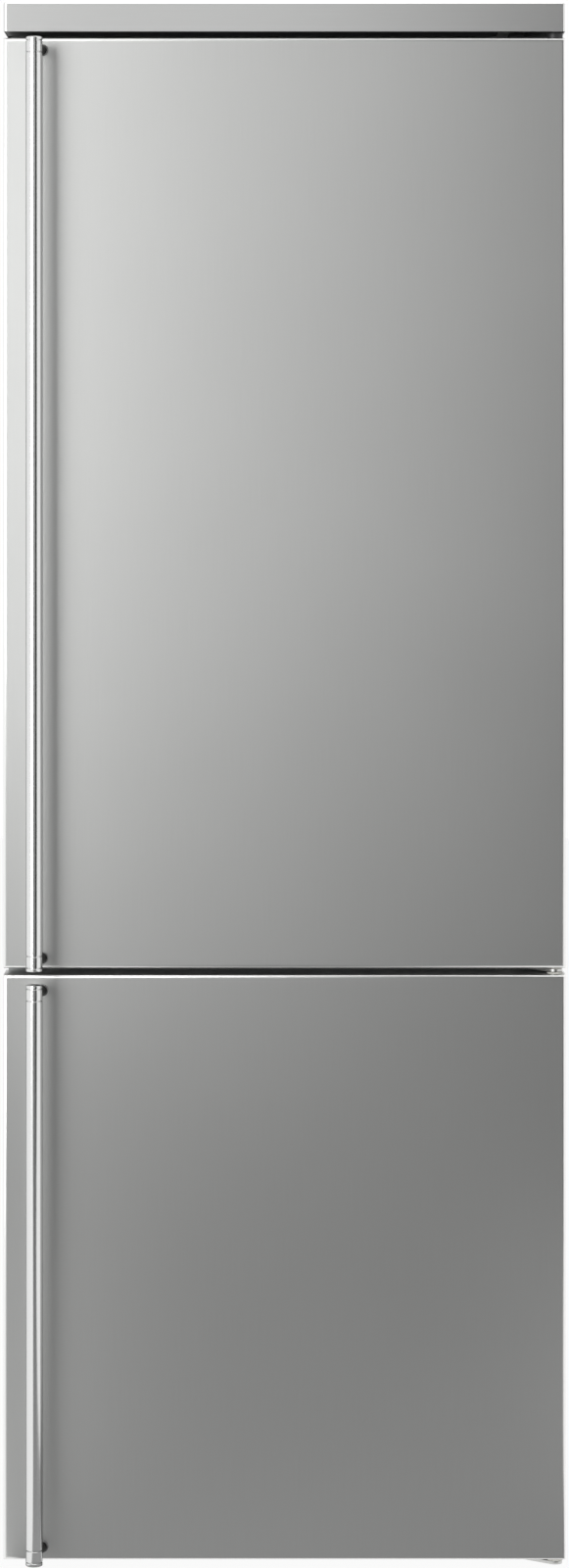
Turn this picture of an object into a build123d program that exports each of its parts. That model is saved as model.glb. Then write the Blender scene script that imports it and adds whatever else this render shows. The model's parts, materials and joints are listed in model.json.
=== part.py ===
# Bottom freezer refrigerator, free standing, doors hinged on the right.
# Millimetres. +Z up, the doors face -Y, +X is the viewer's right.
# The origin is on the floor, under the middle of the whole envelope.
from build123d import *
from math import cos, pi, radians, sin, tan
import os

os.makedirs("parts", exist_ok=True)

# ---- driving sizes: doors and fascia -------------------------------------------------
door_width = 700.0
door_overhang = 2.0             # door past the cabinet's side
door_depth = 62.0
lower_door_height = 728.0
upper_door_height = 1158.0
floor_gap = 22.0                # floor to the lower door
door_gap = 8.0                  # between the two doors
cap_gap = 8.0                   # upper door to the top cap
cap_height = 36.0
cap_overlap = 90.0              # how far the cap reaches back over the cabinet
cap_sheet = 1.2
cap_lip = 7.0                   # folded lip under the cap's front
tray_wall = 2.0
tray_rim = 14.0
door_fold_radius = 4.0          # rolled edges of the door skins
skin_flange = 9.0               # skin turned in behind the door

# ---- how finely small and repeated rounds are drawn ----------------------------------
corner_flats = 3                # flats round a moulded corner
small_sides = 12                # sides of small or hidden round details
large_sides = 16                # sides of larger ones

# ---- cabinet -------------------------------------------------------------------------
cabinet_depth = 610.0
cabinet_clearance = 26.0        # floor to the cabinet's underside
seal_gap = 12.0                 # door back to cabinet front
sheet = 1.0                     # painted and brushed sheet steel
wrapper_radius = 5.0
fridge_insulation = 47.0
freezer_insulation = 61.0
back_insulation = 47.0
top_insulation = 45.0
floor_insulation = 55.0
bay_insulation = 45.0
bay_depth = 220.0               # compressor bay at the rear
bay_height = 206.0
spacer_depth = 18.0             # buffers that hold the back off the wall
back_beads = 4                  # pressed across the back panel
bead_depth = 3.0
bead_width = 24.0

# ---- liners, gaskets and door plugs --------------------------------------------------
liner_wall = 2.0
liner_radius = 18.0
gasket_inset = 12.0
gasket_width = 14.0
seal_land = 4.0                 # steel face left inside the gasket line
groove_width = 4.0
groove_depth = 8.0
seal_wall = 1.5
seal_taper = 1.0
magnet_pocket = 4.5             # height of the seal's magnet pocket
dart_clearance = 1.0            # dart tip to the groove's floor
barb_clearance = 0.1
dart_tip = 0.8
dart_neck = 1.2                 # half the dart's width above its barb
plug_clearance = 10.0           # door plug to cavity wall
plug_radius = 14.0
upper_plug_reach = 50.0         # door plugs past the cabinet's front
lower_plug_reach = 17.0
dyke_width = 24.0               # moulded rim round the inside of each door
recess_rise = 14.0              # floor inside the rim, off the liner's flat

# ---- hinges --------------------------------------------------------------------------
hinge_side_inset = 12.0         # pin axis from the door's side
hinge_front_inset = 22.0        # pin axis from the door's face
hinge_plate = 4.0
top_hinge_plate = 5.0
hinge_nose_radius = 9.0
hinge_arm_width = 62.0
pin_diameter = 8.0
pin_engagement = 20.0           # pin length inside a door
pin_clearance = 0.05            # radial, in the bushes
bush_diameter = 14.0
bush_flange_diameter = 20.0
bush_clearance = 0.3            # bush face to hinge plate
bore_sides = 16
bottom_hinge_drop = 9.0         # joggle under the lower door
leg_height = 28.0               # middle hinge's foot on the rail
screw_head = 10.0               # across flats
screw_head_height = 4.0
screw_shank = 5.0
screw_sides = 6
middle_foot_sheet = 3.0         # the middle hinge's foot on the rail

# ---- handles -------------------------------------------------------------------------
handle_diameter = 20.8
handle_standoff = 51.6          # bar axis to door face
handle_side_inset = 41.0        # bar axis to the door's left side
handle_lean = 7.6               # the posts' feet sit this much nearer the middle
upper_handle_top_inset = 2.7
upper_handle_bottom_inset = 0.5
lower_handle_top_inset = 6.5
lower_handle_bottom_inset = 3.8
end_cap_height = 6.0
collar_height = 14.6
ring_gap = 0.8                  # shadow groove beside each collar
ring_depth = 0.8
end_crown = 1.2
handle_sides = 14               # sides drawn on the turned ends
post_diameter = 11.0
post_foot_diameter = 14.6
post_foot_height = 2.5

# ---- inside the fridge compartment ---------------------------------------------------
shelf_setback = 127.0           # shelf fronts behind the cabinet's front, less the trim
shelf_back_clearance = 24.0
glass_thickness = 4.0
rail_reach = 8.0
rail_height = 10.0
trim_depth = 12.0
trim_height = 14.0
trim_wall = 3.0
trim_ease = 2.0                 # softened edges of the trims, and the slider's slot
cover_shelf_z = 1006.0          # undersides of the glass shelves
fresh_shelf_z = 1130.0
rack_z = 1262.0
middle_shelf_z = 1420.0
top_shelf_z = 1650.0
drawer_gap = 4.0
drawer_wall = 2.5
drawer_front_wall = 4.0
drawer_draft = 2.0              # degrees
drawer_corner = 16.0
rim_thickness = 3.0
drawer_front_ease = 1.5
pull_reach = 6.0                # finger pull, out of the drawer's front
pull_drop = 5.0
pull_lip = 3.0
running_gap = 0.3
vegetable_depth = 360.0
fresh_depth = 370.0
vegetable_front_clearance = 8.0
runner_height = 4.0
slider_width = 34.0
slider_travel = 15.0
slider_tongue = 1.7             # half the tongue's height, and its depth in the trim
slider_face = 3.0               # how far its face stands out
slider_face_low = 5.0
slider_face_high = 6.0
slider_ridges = 5
ridge_pitch = 5.0
ridge_width = 1.6
ridge_height = 1.0
rack_rod = 6.0
rack_sides = 4
rack_places = 4
rack_sag = 12.0
duct_half_width = 110.0
duct_depth = 18.0
duct_slots = 6
duct_slot_height = 6.0
duct_slot_inner = 0.3           # slot ends, as shares of the duct's half width
duct_slot_outer = 0.75
lamp_length = 220.0
lamp_depth = 60.0
lamp_height = 12.0
lamp_border = 8.0
lamp_wall = 2.0
control_width = 170.0
control_depth = 90.0
control_height = 26.0
control_gap = 12.0              # behind the lamp
display_width = 120.0
display_border = 12.0

# ---- door bins -----------------------------------------------------------------------
bin_wall = 2.5
bin_draft = 2.5
bin_corner = 18.0
bin_reach = 55.0                # bins past the rim of the door plug
bin_side_gap = 8.0
bin_back_gap = 2.0
lug_height = 14.0
lug_depth = 22.0
top_bin_z = 1560.0
middle_bin_z = 1250.0
bottle_bin_z = 870.0
top_bin_height = 80.0
middle_bin_height = 95.0
bottle_bin_height = 150.0
dairy_z = 1658.0
dairy_height = 72.0
lid_wall = 2.5
lid_skirt = 58.0
lid_pin_diameter = 6.0
lid_pin_length = 5.0

# ---- inside the freezer --------------------------------------------------------------
freezer_drawer_setback = 56.0   # drawer fronts behind the cabinet's front
freezer_drawer_side_gap = 20.0
freezer_rail_height = 8.0
freezer_bottom_z = 98.0
freezer_bottom_height = 172.0
freezer_middle_z = 286.0
freezer_top_z = 502.0
freezer_drawer_height = 196.0
freezer_back_clearance = 16.0   # behind each freezer drawer
cooler_depth = 78.0             # space behind the evaporator cover
cover_wall = 3.0
cover_edge_gap = 1.5            # cover to the liner
cover_slots = 8
cover_slot_z = 14.0
cover_slot_height = 8.0
cooler_z = 300.0
fin_side_gap = 84.0             # fins to the freezer's side wall
fin_height = 210.0
fin_depth = 54.0
fin_pitch = 25.0
fin_gap = 20.0
cooler_tube = 8.0
tube_rows = 5
fin_front_gap = 12.0            # cover to the fins
spine_depth = 11.0              # solid strip that joins the fins behind
tube_setback = 13.4             # tube axis from the fins' back
bend_reach = 17.0               # hairpin bends past the fins
bend_ease = 8.0
hanger_width = 20.0
hanger_inset = 10.0

# ---- fans ----------------------------------------------------------------------------
fan_diameter = 110.0
fan_tip_gap = 4.0
fan_blades = 5
fan_hub_diameter = 34.0
fan_hub_length = 18.0
blade_thickness = 2.2
blade_camber = 4.0
blade_pitch = 32.0              # degrees
blade_chord = 33.0
blade_sink = 2.0                # blade roots inside the hub
motor_diameter = 30.0
motor_length = 20.0
shaft_diameter = 4.0
shaft_clearance = 0.05
hub_gap = 3.0                   # motor to hub
strut_width = 6.0
fan_height_z = 610.0

# ---- compressor bay ------------------------------------------------------------------
deck_sheet = 2.0
deck_flange = 14.0
compressor_inset = 158.0        # can's axis from the cabinet's side
compressor_diameter = 156.0
compressor_height = 150.0
compressor_flange = 8.0
compressor_seam = 0.45          # the weld flange's height, as a share of the can's
flange_sheet = 4.0
can_ease = 28.0                 # rounding of the can's drawn ends
foot_plate_margin = 12.0
foot_plate_sheet = 3.0
terminal_width = 44.0           # terminal box on the can's side
terminal_height = 54.0
terminal_reach = 26.0
terminal_sink = 8.0
terminal_lift = 30.0
mount_height = 14.0
mount_spacing = 120.0
condenser_width = 220.0
condenser_height = 150.0
condenser_tube = 8.0
condenser_runs = 4
condenser_rows = 2
coil_side_gap = 40.0            # coil to the cabinet's side
coil_lift = 18.0                # coil above the deck
coil_row_gap = 60.0
comb_sheet = 2.0
comb_margin = 14.0              # comb plate past the coil
bay_fan_x = -10.0
bay_fan_frame = 124.0
bay_fan_depth = 44.0
drip_width = 180.0
drip_depth = 140.0
drip_height = 28.0
grille_slots = 8
grille_slot = 5.0
grille_foot = 30.0              # plain strip below the slots
grille_head = 20.0              # plain strip above them
grille_side = 40.0
grille_middle = 60.0            # plain strip between the two ladders
inlet_land = 100.0              # plain sheet beside the mains inlet
inlet_inset = 133.0
inlet_z = 150.0
inlet_width = 30.0
inlet_height = 22.0
inlet_depth = 20.0
bezel_sheet = 2.5
bezel_margin = 5.0              # bezel past the body
inlet_wall = 3.0
inlet_blade_sink = 9.0          # blade tips below the back's face
inlet_blade_sheet = 2.0
inlet_blade_width = 4.0
inlet_blade_rise = 3.0          # the middle blade sits higher than its neighbours

# ---- feet, rollers and buffers -------------------------------------------------------
foot_inset = 58.0               # foot axis from the cabinet's side
foot_setback = 76.0
foot_pad = 36.0                 # across flats
foot_pad_height = 10.0
foot_stem = 10.0
foot_stem_length = 60.0
foot_clearance = 0.1
nut_size = 17.0
nut_height = 8.0
roller_inset = 80.0
roller_diameter = 30.0
roller_width = 18.0
roller_sides = 32
roller_setback = 36.0           # roller axis in front of the cabinet's back
axle_diameter = 8.0
axle_clearance = 0.1
fork_wall = 2.0
fork_gap = 1.0
spacer_width = 44.0
spacer_height = 60.0
spacer_inset = 98.0
spacer_top_drop = 150.0
spacer_low_z = 420.0

# ---- planes worked out from the sizes above ------------------------------------------
half_door = door_width / 2
half_cabinet = half_door - door_overhang
handle_reach = handle_standoff + handle_diameter / 2
overall_depth = handle_reach + door_depth + seal_gap + cabinet_depth + spacer_depth
handle_y = -overall_depth / 2 + handle_diameter / 2
door_front_y = handle_y + handle_standoff
door_back_y = door_front_y + door_depth
cabinet_front_y = door_back_y + seal_gap
cabinet_back_y = cabinet_front_y + cabinet_depth
wall_y = cabinet_back_y + spacer_depth
lower_door_z0 = floor_gap
lower_door_z1 = lower_door_z0 + lower_door_height
upper_door_z0 = lower_door_z1 + door_gap
upper_door_z1 = upper_door_z0 + upper_door_height
cabinet_top_z = upper_door_z1 + cap_gap
cap_top_z = cabinet_top_z + cap_height
cabinet_base_z = cabinet_clearance
bay_front_y = cabinet_back_y - bay_depth
bay_top_z = cabinet_base_z + bay_height
seal_edge = gasket_inset + gasket_width
window_inset = seal_edge + seal_land
window_half = half_door - window_inset
window_z0 = lower_door_z0 + window_inset
window_z1 = upper_door_z1 - window_inset
fridge_half = half_cabinet - sheet - fridge_insulation - liner_wall
fridge_z0 = upper_door_z0 + seal_edge
fridge_z1 = cabinet_top_z - sheet - top_insulation - liner_wall
fridge_back_y = cabinet_back_y - sheet - back_insulation - liner_wall
freezer_half = half_cabinet - sheet - freezer_insulation - liner_wall
freezer_z0 = cabinet_base_z + sheet + floor_insulation + liner_wall
freezer_z1 = lower_door_z1 - seal_edge
step_y = bay_front_y - sheet - bay_insulation - liner_wall
step_z = bay_top_z + sheet + bay_insulation + liner_wall
rail_z0 = freezer_z1 + seal_land
rail_z1 = fridge_z0 - seal_land
liner_y = door_back_y - sheet
hinge_x = half_door - hinge_side_inset
hinge_y = door_front_y + hinge_front_inset
shelf_front_y = cabinet_front_y + shelf_setback
shelf_back_y = fridge_back_y - shelf_back_clearance
trim_front_y = shelf_front_y - trim_wall
drawer_front_y = trim_front_y
freezer_front_y = cabinet_front_y + freezer_drawer_setback
cooler_y = fridge_back_y - cooler_depth
freezer_bottom_depth = step_y - freezer_back_clearance - freezer_front_y
freezer_drawer_depth = cooler_y - freezer_back_clearance - freezer_front_y
fin_width = 2 * (freezer_half - fin_side_gap)
mid_bay_y = (bay_front_y + cabinet_back_y) / 2
roller_y = cabinet_back_y - roller_setback
foot_x = half_cabinet - foot_inset
roller_x = half_cabinet - roller_inset
spacer_x = half_cabinet - spacer_inset
compressor_x = half_cabinet - compressor_inset
inlet_x = inlet_inset - half_cabinet
foot_y = cabinet_front_y + foot_setback
roller_slot = roller_width / 2 + fork_gap
fresh_rail_z = fresh_shelf_z - 2 * rail_height - rim_thickness - 2 * running_gap


class Door:
    """One door: its height, its plug into the cavity and its handle."""

    def __init__(self, name, z0, z1, plug_half, plug_z0, plug_z1, reach, handle_z0, handle_z1,
                 bottom_rest, top_rest):
        self.name = name
        self.z0, self.z1 = z0, z1
        self.plug_half = plug_half
        self.plug_z0, self.plug_z1 = plug_z0, plug_z1
        self.plug_y = cabinet_front_y + reach
        self.handle_z0, self.handle_z1 = handle_z0, handle_z1
        self.bottom_rest, self.top_rest = bottom_rest, top_rest


middle_plate_z0 = (lower_door_z1 + upper_door_z0 - hinge_plate) / 2
middle_plate_z1 = middle_plate_z0 + hinge_plate
bottom_plate_z1 = cabinet_base_z - bottom_hinge_drop
bottom_plate_z0 = bottom_plate_z1 - hinge_plate

upper_door = Door(
    "upper", upper_door_z0, upper_door_z1, fridge_half - plug_clearance,
    fridge_z0 + plug_clearance, fridge_z1 - plug_clearance, upper_plug_reach,
    upper_door_z0 + upper_handle_bottom_inset, upper_door_z1 - upper_handle_top_inset,
    middle_plate_z1, cabinet_top_z)
lower_door = Door(
    "lower", lower_door_z0, lower_door_z1, freezer_half - plug_clearance,
    freezer_z0 + plug_clearance, freezer_z1 - plug_clearance, lower_plug_reach,
    lower_door_z0 + lower_handle_bottom_inset, lower_door_z1 - lower_handle_top_inset,
    bottom_plate_z1, middle_plate_z0)


# ---- shaping tools -------------------------------------------------------------------
def block(x, y, z):
    """A square-edged piece between two limits on each axis."""
    limits = (x, y, z)
    size = [high - low for low, high in limits]
    middle = [(high + low) / 2 for low, high in limits]
    return Pos(*middle) * Box(*size)


def both_sides(low, high):
    """The X limits of a piece and of its mirror image."""
    return ((-high, -low), (low, high))


def eased_points(width, depth, radius, z=0):
    """Corner points of a rectangle whose corners are rounded in a few flats."""
    points = []
    for corner, (side_x, side_y) in enumerate(((1, 1), (-1, 1), (-1, -1), (1, -1))):
        for i in range(corner_flats + 1):
            angle = radians(90 * (corner + i / corner_flats))
            points.append(Vector(side_x * (width / 2 - radius) + radius * cos(angle),
                                 side_y * (depth / 2 - radius) + radius * sin(angle), z))
    return points


def eased_rectangle(width, depth, radius):
    """A rectangle whose corners are rounded in a few flats."""
    return make_face(Polyline(*eased_points(width, depth, radius), close=True))


def ring_points(radius, z, sides):
    """Corner points of an upright prism's or cone's end."""
    return [Vector(radius * cos(2 * pi * i / sides), radius * sin(2 * pi * i / sides), z)
            for i in range(sides)]


def frustum(low, high):
    """The solid between two flat outlines whose sides pair up; every side is flat."""
    faces = [Face(Wire.make_polygon(low, close=True)), Face(Wire.make_polygon(high, close=True))]
    for i in range(len(low)):
        k = (i + 1) % len(low)
        faces.append(Face(Wire.make_polygon([low[i], low[k], high[k], high[i]], close=True)))
    return Part() + Solid(Shell(faces))


def rounded_block(half, y, z, radius):
    """A piece centred in X whose four long edges, along Y, are rounded."""
    face = Plane(origin=(0, y[0], (z[0] + z[1]) / 2), x_dir=(1, 0, 0), z_dir=(0, 1, 0))
    return extrude(face * eased_rectangle(2 * half, z[1] - z[0], radius), y[1] - y[0])


def rod(start, direction, diameter, length, sides=None):
    """A round bar from a point along a direction; sides draws it with that many flats."""
    plane = Plane(origin=start, z_dir=direction)
    if sides:
        return extrude(plane * RegularPolygon(diameter / 2, sides), length)
    return plane * Cylinder(diameter / 2, length, align=(Align.CENTER, Align.CENTER, Align.MIN))


def turned(profile, sides):
    """A turned shape from (radius, height) points going up, drawn with flats."""
    shape = None
    for (low_radius, low), (high_radius, high) in zip(profile, profile[1:]):
        if high > low:
            stage = frustum(ring_points(low_radius, low, sides), ring_points(high_radius, high, sides))
            shape = stage if shape is None else shape + stage
    return shape


def hexagon(x, y, z, across, height):
    """An upright hexagonal prism, by its size across flats."""
    outline = RegularPolygon(across / 2, 6, major_radius=False)
    return extrude(Pos(x, y, z) * outline, height)


def side_profile(points, x):
    """A closed outline of (y, z) points drawn across the X limits."""
    plane = Plane(origin=(x[0], 0, 0), x_dir=(0, 1, 0), z_dir=(1, 0, 0))
    return extrude(plane * make_face(Polyline(*points, close=True)), x[1] - x[0])


def bent_sheet(points, thickness, x, side=Side.LEFT):
    """A folded strip: a path of (y, z) points thickened to one side."""
    path = Polyline(*points)
    outline = make_face(offset(path, amount=thickness, kind=Kind.INTERSECTION, side=side))
    plane = Plane(origin=(x[0], 0, 0), x_dir=(0, 1, 0), z_dir=(1, 0, 0))
    return extrude(plane * outline, x[1] - x[0])


def tub(width, depth, height, wall, draft, corner):
    """An open moulded tub on z = 0, centred in X and Y, widest at its rim."""
    outer = tub_space(width, depth, height, 0, draft, corner)
    return outer - tub_space(width, depth, height, wall, draft, corner)


def tub_space(width, depth, height, wall, draft, corner):
    """A tub's outside, or with a wall the space inside it."""
    taper = height * tan(radians(draft))
    floor = eased_points(width - 2 * taper - 2 * wall, depth - 2 * taper - 2 * wall, corner - wall, wall)
    rim = eased_points(width - 2 * wall, depth - 2 * wall, corner - wall, height)
    return frustum(floor, rim)


def save(shape, node):
    export_step(shape, "parts/" + node + ".step")


# ---- cabinet shell -------------------------------------------------------------------
def fridge_space(grow):
    """The fridge cavity, grown outwards by a wall; open through the cabinet's front."""
    return rounded_block(fridge_half + grow, (cabinet_front_y - sheet, fridge_back_y + grow),
                         (fridge_z0 - grow, fridge_z1 + grow), liner_radius + grow)


def freezer_space(grow):
    """The freezer cavity with its step over the compressor bay."""
    front = cabinet_front_y - sheet
    back, low_back = fridge_back_y + grow, step_y + grow
    floor, step, roof = freezer_z0 - grow, step_z - grow, freezer_z1 + grow
    points = [(front, floor), (low_back, floor), (low_back, step), (back, step),
              (back, roof), (front, roof)]
    space = side_profile(points, (-freezer_half - grow, freezer_half + grow))
    long_edges = space.edges().filter_by(Axis.Y).group_by(Axis.Z)
    return chamfer(long_edges[0] + long_edges[-1], liner_radius * 0.6 + grow * 0.6)


def liner_flange(z):
    """The liner's front flange, flush with the cabinet's steel face."""
    return block((-window_half, window_half), (cabinet_front_y, cabinet_front_y + liner_wall), z)


def wrapper():
    """Sheet bent over both sides and the top, with a turned-in front frame."""
    shell = block((-half_cabinet, half_cabinet), (cabinet_front_y, cabinet_back_y),
                  (cabinet_base_z, cabinet_top_z))
    top_edges = shell.edges().filter_by(Axis.Y).group_by(Axis.Z)[-1]
    shell = chamfer(top_edges, wrapper_radius * 0.6)
    hollow = block((-half_cabinet + sheet, half_cabinet - sheet),
                   (cabinet_front_y + sheet, cabinet_back_y + sheet),
                   (cabinet_base_z - sheet, cabinet_top_z - sheet))
    hollow_edges = hollow.edges().filter_by(Axis.Y).group_by(Axis.Z)[-1]
    hollow = chamfer(hollow_edges, wrapper_radius * 0.6)
    window = block((-window_half, window_half),
                   (cabinet_front_y - sheet, cabinet_front_y + 2 * sheet),
                   (cabinet_base_z - sheet, window_z1))
    return shell - hollow - window


def base_pan():
    """Stepped underside: front upstand, floor, bay wall and bay roof, with foot nuts."""
    front = cabinet_front_y
    path = [(front, window_z0), (front, cabinet_base_z), (bay_front_y, cabinet_base_z),
            (bay_front_y, bay_top_z), (cabinet_back_y - sheet, bay_top_z)]
    inner_half = half_cabinet - sheet
    pan = bent_sheet(path, sheet, (-inner_half, inner_half))
    for side in (-1, 1):
        pan += hexagon(side * foot_x, foot_y, cabinet_base_z + sheet, nut_size, nut_height)
        pan -= rod((side * foot_x, foot_y, 0), (0, 0, 1), foot_stem + 4 * foot_clearance,
                   cabinet_base_z + 2 * nut_height, small_sides)
    corner = block((-inner_half, -window_half), (front - sheet, front + sheet),
                   (cabinet_base_z, window_z0 + sheet))
    return pan - corner - mirror(corner, Plane.YZ)


def mullion_rail():
    """Steel channel across the front between the two cavities."""
    return_depth = 12.0
    path = [(cabinet_front_y + return_depth, rail_z0), (cabinet_front_y, rail_z0),
            (cabinet_front_y, rail_z1), (cabinet_front_y + return_depth, rail_z1)]
    return bent_sheet(path, sheet, (-window_half, window_half), Side.RIGHT)


def cabinet_foam(pan, rail):
    """Foamed-in-place insulation between the steel and the two liners."""
    skin_half = half_cabinet - sheet
    front, back = cabinet_front_y + sheet, cabinet_back_y - sheet
    floor, roof = cabinet_base_z + sheet, cabinet_top_z - sheet
    points = [(front, floor), (bay_front_y - sheet, floor), (bay_front_y - sheet, bay_top_z + sheet),
              (back, bay_top_z + sheet), (back, roof), (front, roof)]
    foam = side_profile(points, (-skin_half, skin_half))
    roof_edges = foam.edges().filter_by(Axis.Y).group_by(Axis.Z)[-1]
    foam = chamfer(roof_edges, wrapper_radius * 0.6)
    foam -= fridge_space(liner_wall)
    foam -= freezer_space(liner_wall)
    foam -= liner_flange((window_z0, window_z1))
    foam -= rail
    for side in (-1, 1):
        foam -= rod((side * foot_x, foot_y, floor), (0, 0, 1), nut_size * 1.3,
                    foot_stem_length + foot_pad_height - floor + nut_height / 2, small_sides)
    return foam


def shelf_rails(half, z, y, height):
    """A pair of moulded ledges on the cavity's side walls, with sloping undersides."""
    rails = []
    for side in (-1, 1):
        wall = side * half
        points = [(wall, z - 2 * height), (wall - side * rail_reach, z - height),
                  (wall - side * rail_reach, z), (wall, z)]
        plane = Plane(origin=(0, y[0], 0), x_dir=(1, 0, 0), z_dir=(0, -1, 0))
        ledge = extrude(plane * make_face(Polyline(*points, close=True)), -(y[1] - y[0]))
        rails.append(ledge)
    return rails


def fridge_liner():
    """Vacuum-formed liner: walls, front flange, shelf ledges and drawer runners."""
    liner = fridge_space(liner_wall) + liner_flange((rail_z1, window_z1))
    liner -= fridge_space(0)
    liner -= block((-half_cabinet, half_cabinet), (cabinet_front_y - 2 * sheet, cabinet_front_y),
                   (rail_z1 - liner_wall, window_z1))
    ledge_y = (shelf_front_y + trim_depth, shelf_back_y)
    for z in (cover_shelf_z, fresh_shelf_z, rack_z, middle_shelf_z, top_shelf_z):
        for ledge in shelf_rails(fridge_half, z, ledge_y, rail_height):
            liner += ledge
    for ledge in shelf_rails(fridge_half, fresh_rail_z, ledge_y, rail_height / 2):
        liner += ledge
    for runner in both_sides(fridge_half * 0.6, fridge_half * 0.6 + rail_reach):
        liner += block(runner, (shelf_front_y, shelf_back_y), (fridge_z0, fridge_z0 + runner_height))
    return liner


def freezer_rail_levels():
    """Underside of each freezer drawer's rim."""
    low = freezer_bottom_z + freezer_bottom_height - rim_thickness
    rims = [freezer_middle_z, freezer_top_z]
    return [low] + [z + freezer_drawer_height - rim_thickness for z in rims]


def freezer_liner():
    """Vacuum-formed liner of the freezer, with a pair of ledges for each drawer."""
    liner = freezer_space(liner_wall) + liner_flange((window_z0, rail_z0))
    liner -= freezer_space(0)
    liner -= block((-half_cabinet, half_cabinet), (cabinet_front_y - 2 * sheet, cabinet_front_y),
                   (window_z0 - liner_wall, rail_z0 + liner_wall))
    backs = [step_y - drawer_gap, cooler_y - drawer_gap, cooler_y - drawer_gap]
    for level, back in zip(freezer_rail_levels(), backs):
        y = (freezer_front_y + drawer_gap, back)
        for ledge in shelf_rails(freezer_half, level - running_gap, y, freezer_rail_height):
            liner += ledge
    return liner


def back_panel():
    """Flat sheet closing the back above the compressor bay, with pressed beads."""
    panel = block((-half_cabinet + sheet, half_cabinet - sheet), (cabinet_back_y - sheet, cabinet_back_y),
                  (bay_top_z, cabinet_top_z - sheet))
    pitch = (cabinet_top_z - bay_top_z) / (back_beads + 1)
    for i in range(back_beads):
        z = bay_top_z + pitch * (i + 1)
        points = [(cabinet_back_y, z - bead_width), (cabinet_back_y + bead_depth, z - bead_width / 2),
                  (cabinet_back_y + bead_depth, z + bead_width / 2), (cabinet_back_y, z + bead_width)]
        panel += side_profile(points, (-spacer_x + spacer_width, spacer_x - spacer_width))
    roof_edges = panel.edges().filter_by(Axis.Y).group_by(Axis.Z)[-1]
    return chamfer(roof_edges, wrapper_radius * 0.6)


# ---- top cap -------------------------------------------------------------------------
def top_cap():
    """Folded steel cover over the hinge, flush with the doors, with a lip under its face."""
    back = cabinet_front_y + cap_overlap
    outer = block((-half_door, half_door), (door_front_y, back), (cabinet_top_z, cap_top_z))
    corners = outer.edges().filter_by(Axis.Z).group_by(Axis.Y)[0]
    outer = fillet(corners, door_fold_radius)
    front_top = outer.edges().group_by(Axis.Z)[-1]
    outer = chamfer(front_top, cap_sheet)
    hollow = block((-half_door + cap_sheet, half_door - cap_sheet),
                   (door_front_y + cap_sheet, back - cap_sheet),
                   (cabinet_top_z - cap_sheet, cap_top_z - cap_sheet))
    hollow = chamfer(hollow.edges().filter_by(Axis.Z).group_by(Axis.Y)[0], door_fold_radius - cap_sheet)
    lip = block((-half_door + door_fold_radius, half_door - door_fold_radius),
                (door_front_y + cap_sheet / 2, door_front_y + cap_lip),
                (cabinet_top_z, cabinet_top_z + cap_sheet))
    return outer - hollow + lip


def cap_tray():
    """Black moulded floor that sits on the cap's lip, open where the hinge arm passes."""
    half = half_door - cap_sheet - running_gap
    front = door_front_y + cap_sheet + running_gap
    back = cabinet_front_y - running_gap
    floor = cabinet_top_z + cap_sheet
    outer = block((-half, half), (front, back), (floor, floor + tray_rim))
    outer = chamfer(outer.edges().filter_by(Axis.Z).group_by(Axis.Y)[0], door_fold_radius - cap_sheet)
    hollow = block((-half + tray_wall, half - tray_wall), (front + tray_wall, back + tray_wall),
                   (floor + tray_wall, floor + 2 * tray_rim))
    arm = block((hinge_x - hinge_arm_width - hinge_nose_radius, half + tray_wall),
                (hinge_y - 2 * hinge_nose_radius, back + tray_wall),
                (floor - tray_wall, floor + 2 * tray_rim))
    return outer - hollow - arm


# ---- hinges --------------------------------------------------------------------------
def hinge_arm(z, thickness, root_y):
    """Flat arm from its root out to a round nose about the door's pin."""
    nose = Pos(hinge_x, hinge_y) * RegularPolygon(hinge_nose_radius, large_sides)
    right = hinge_x + hinge_nose_radius - 2 * sheet
    left = right - hinge_arm_width
    root = Pos((left + right) / 2, root_y) * Rectangle(right - left, 2 * hinge_plate)
    outline = make_hull(nose.edges() + root.edges())
    return extrude(Pos(0, 0, z) * outline, thickness)


def hinge_pin(z0, z1):
    """Turned pin, riveted through its plate."""
    return rod((hinge_x, hinge_y, z0), (0, 0, 1), pin_diameter, z1 - z0, large_sides)


def top_screw_places():
    """Screws of the top hinge: a row along the cabinet's front edge and one behind."""
    left = hinge_x - hinge_arm_width + 2 * screw_head
    row_y = cabinet_front_y + 2 * screw_head
    return [(left, row_y), (hinge_x - screw_head, row_y), ((left + hinge_x) / 2, row_y + 3 * screw_head)]


def top_hinge():
    """Plate screwed down on the cabinet's top, with its pin hanging into the upper door."""
    root_y = cabinet_front_y + 4 * screw_head
    plate = hinge_arm(cabinet_top_z, top_hinge_plate, root_y)
    left = hinge_x + hinge_nose_radius - 2 * sheet - hinge_arm_width
    pad = block((left, left + hinge_arm_width), (cabinet_front_y, root_y + 2 * screw_head),
                (cabinet_top_z, cabinet_top_z + top_hinge_plate))
    plate += pad
    for x, y in top_screw_places():
        plate -= rod((x, y, cabinet_top_z - 1), (0, 0, 1), screw_shank, top_hinge_plate + 2, screw_sides)
    plate += hinge_pin(upper_door_z1 - pin_engagement, cabinet_top_z + top_hinge_plate + 1)
    return plate


def middle_screw_places():
    """Screws of the middle hinge, in a row along its foot."""
    right = half_cabinet - 2 * screw_head
    return [right - i * 2.4 * screw_head for i in range(3)]


def middle_foot_z():
    """Height limits of the middle hinge's foot on the rail."""
    middle = (middle_plate_z0 + middle_plate_z1) / 2
    return (middle - leg_height / 2, middle + leg_height / 2)


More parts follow.
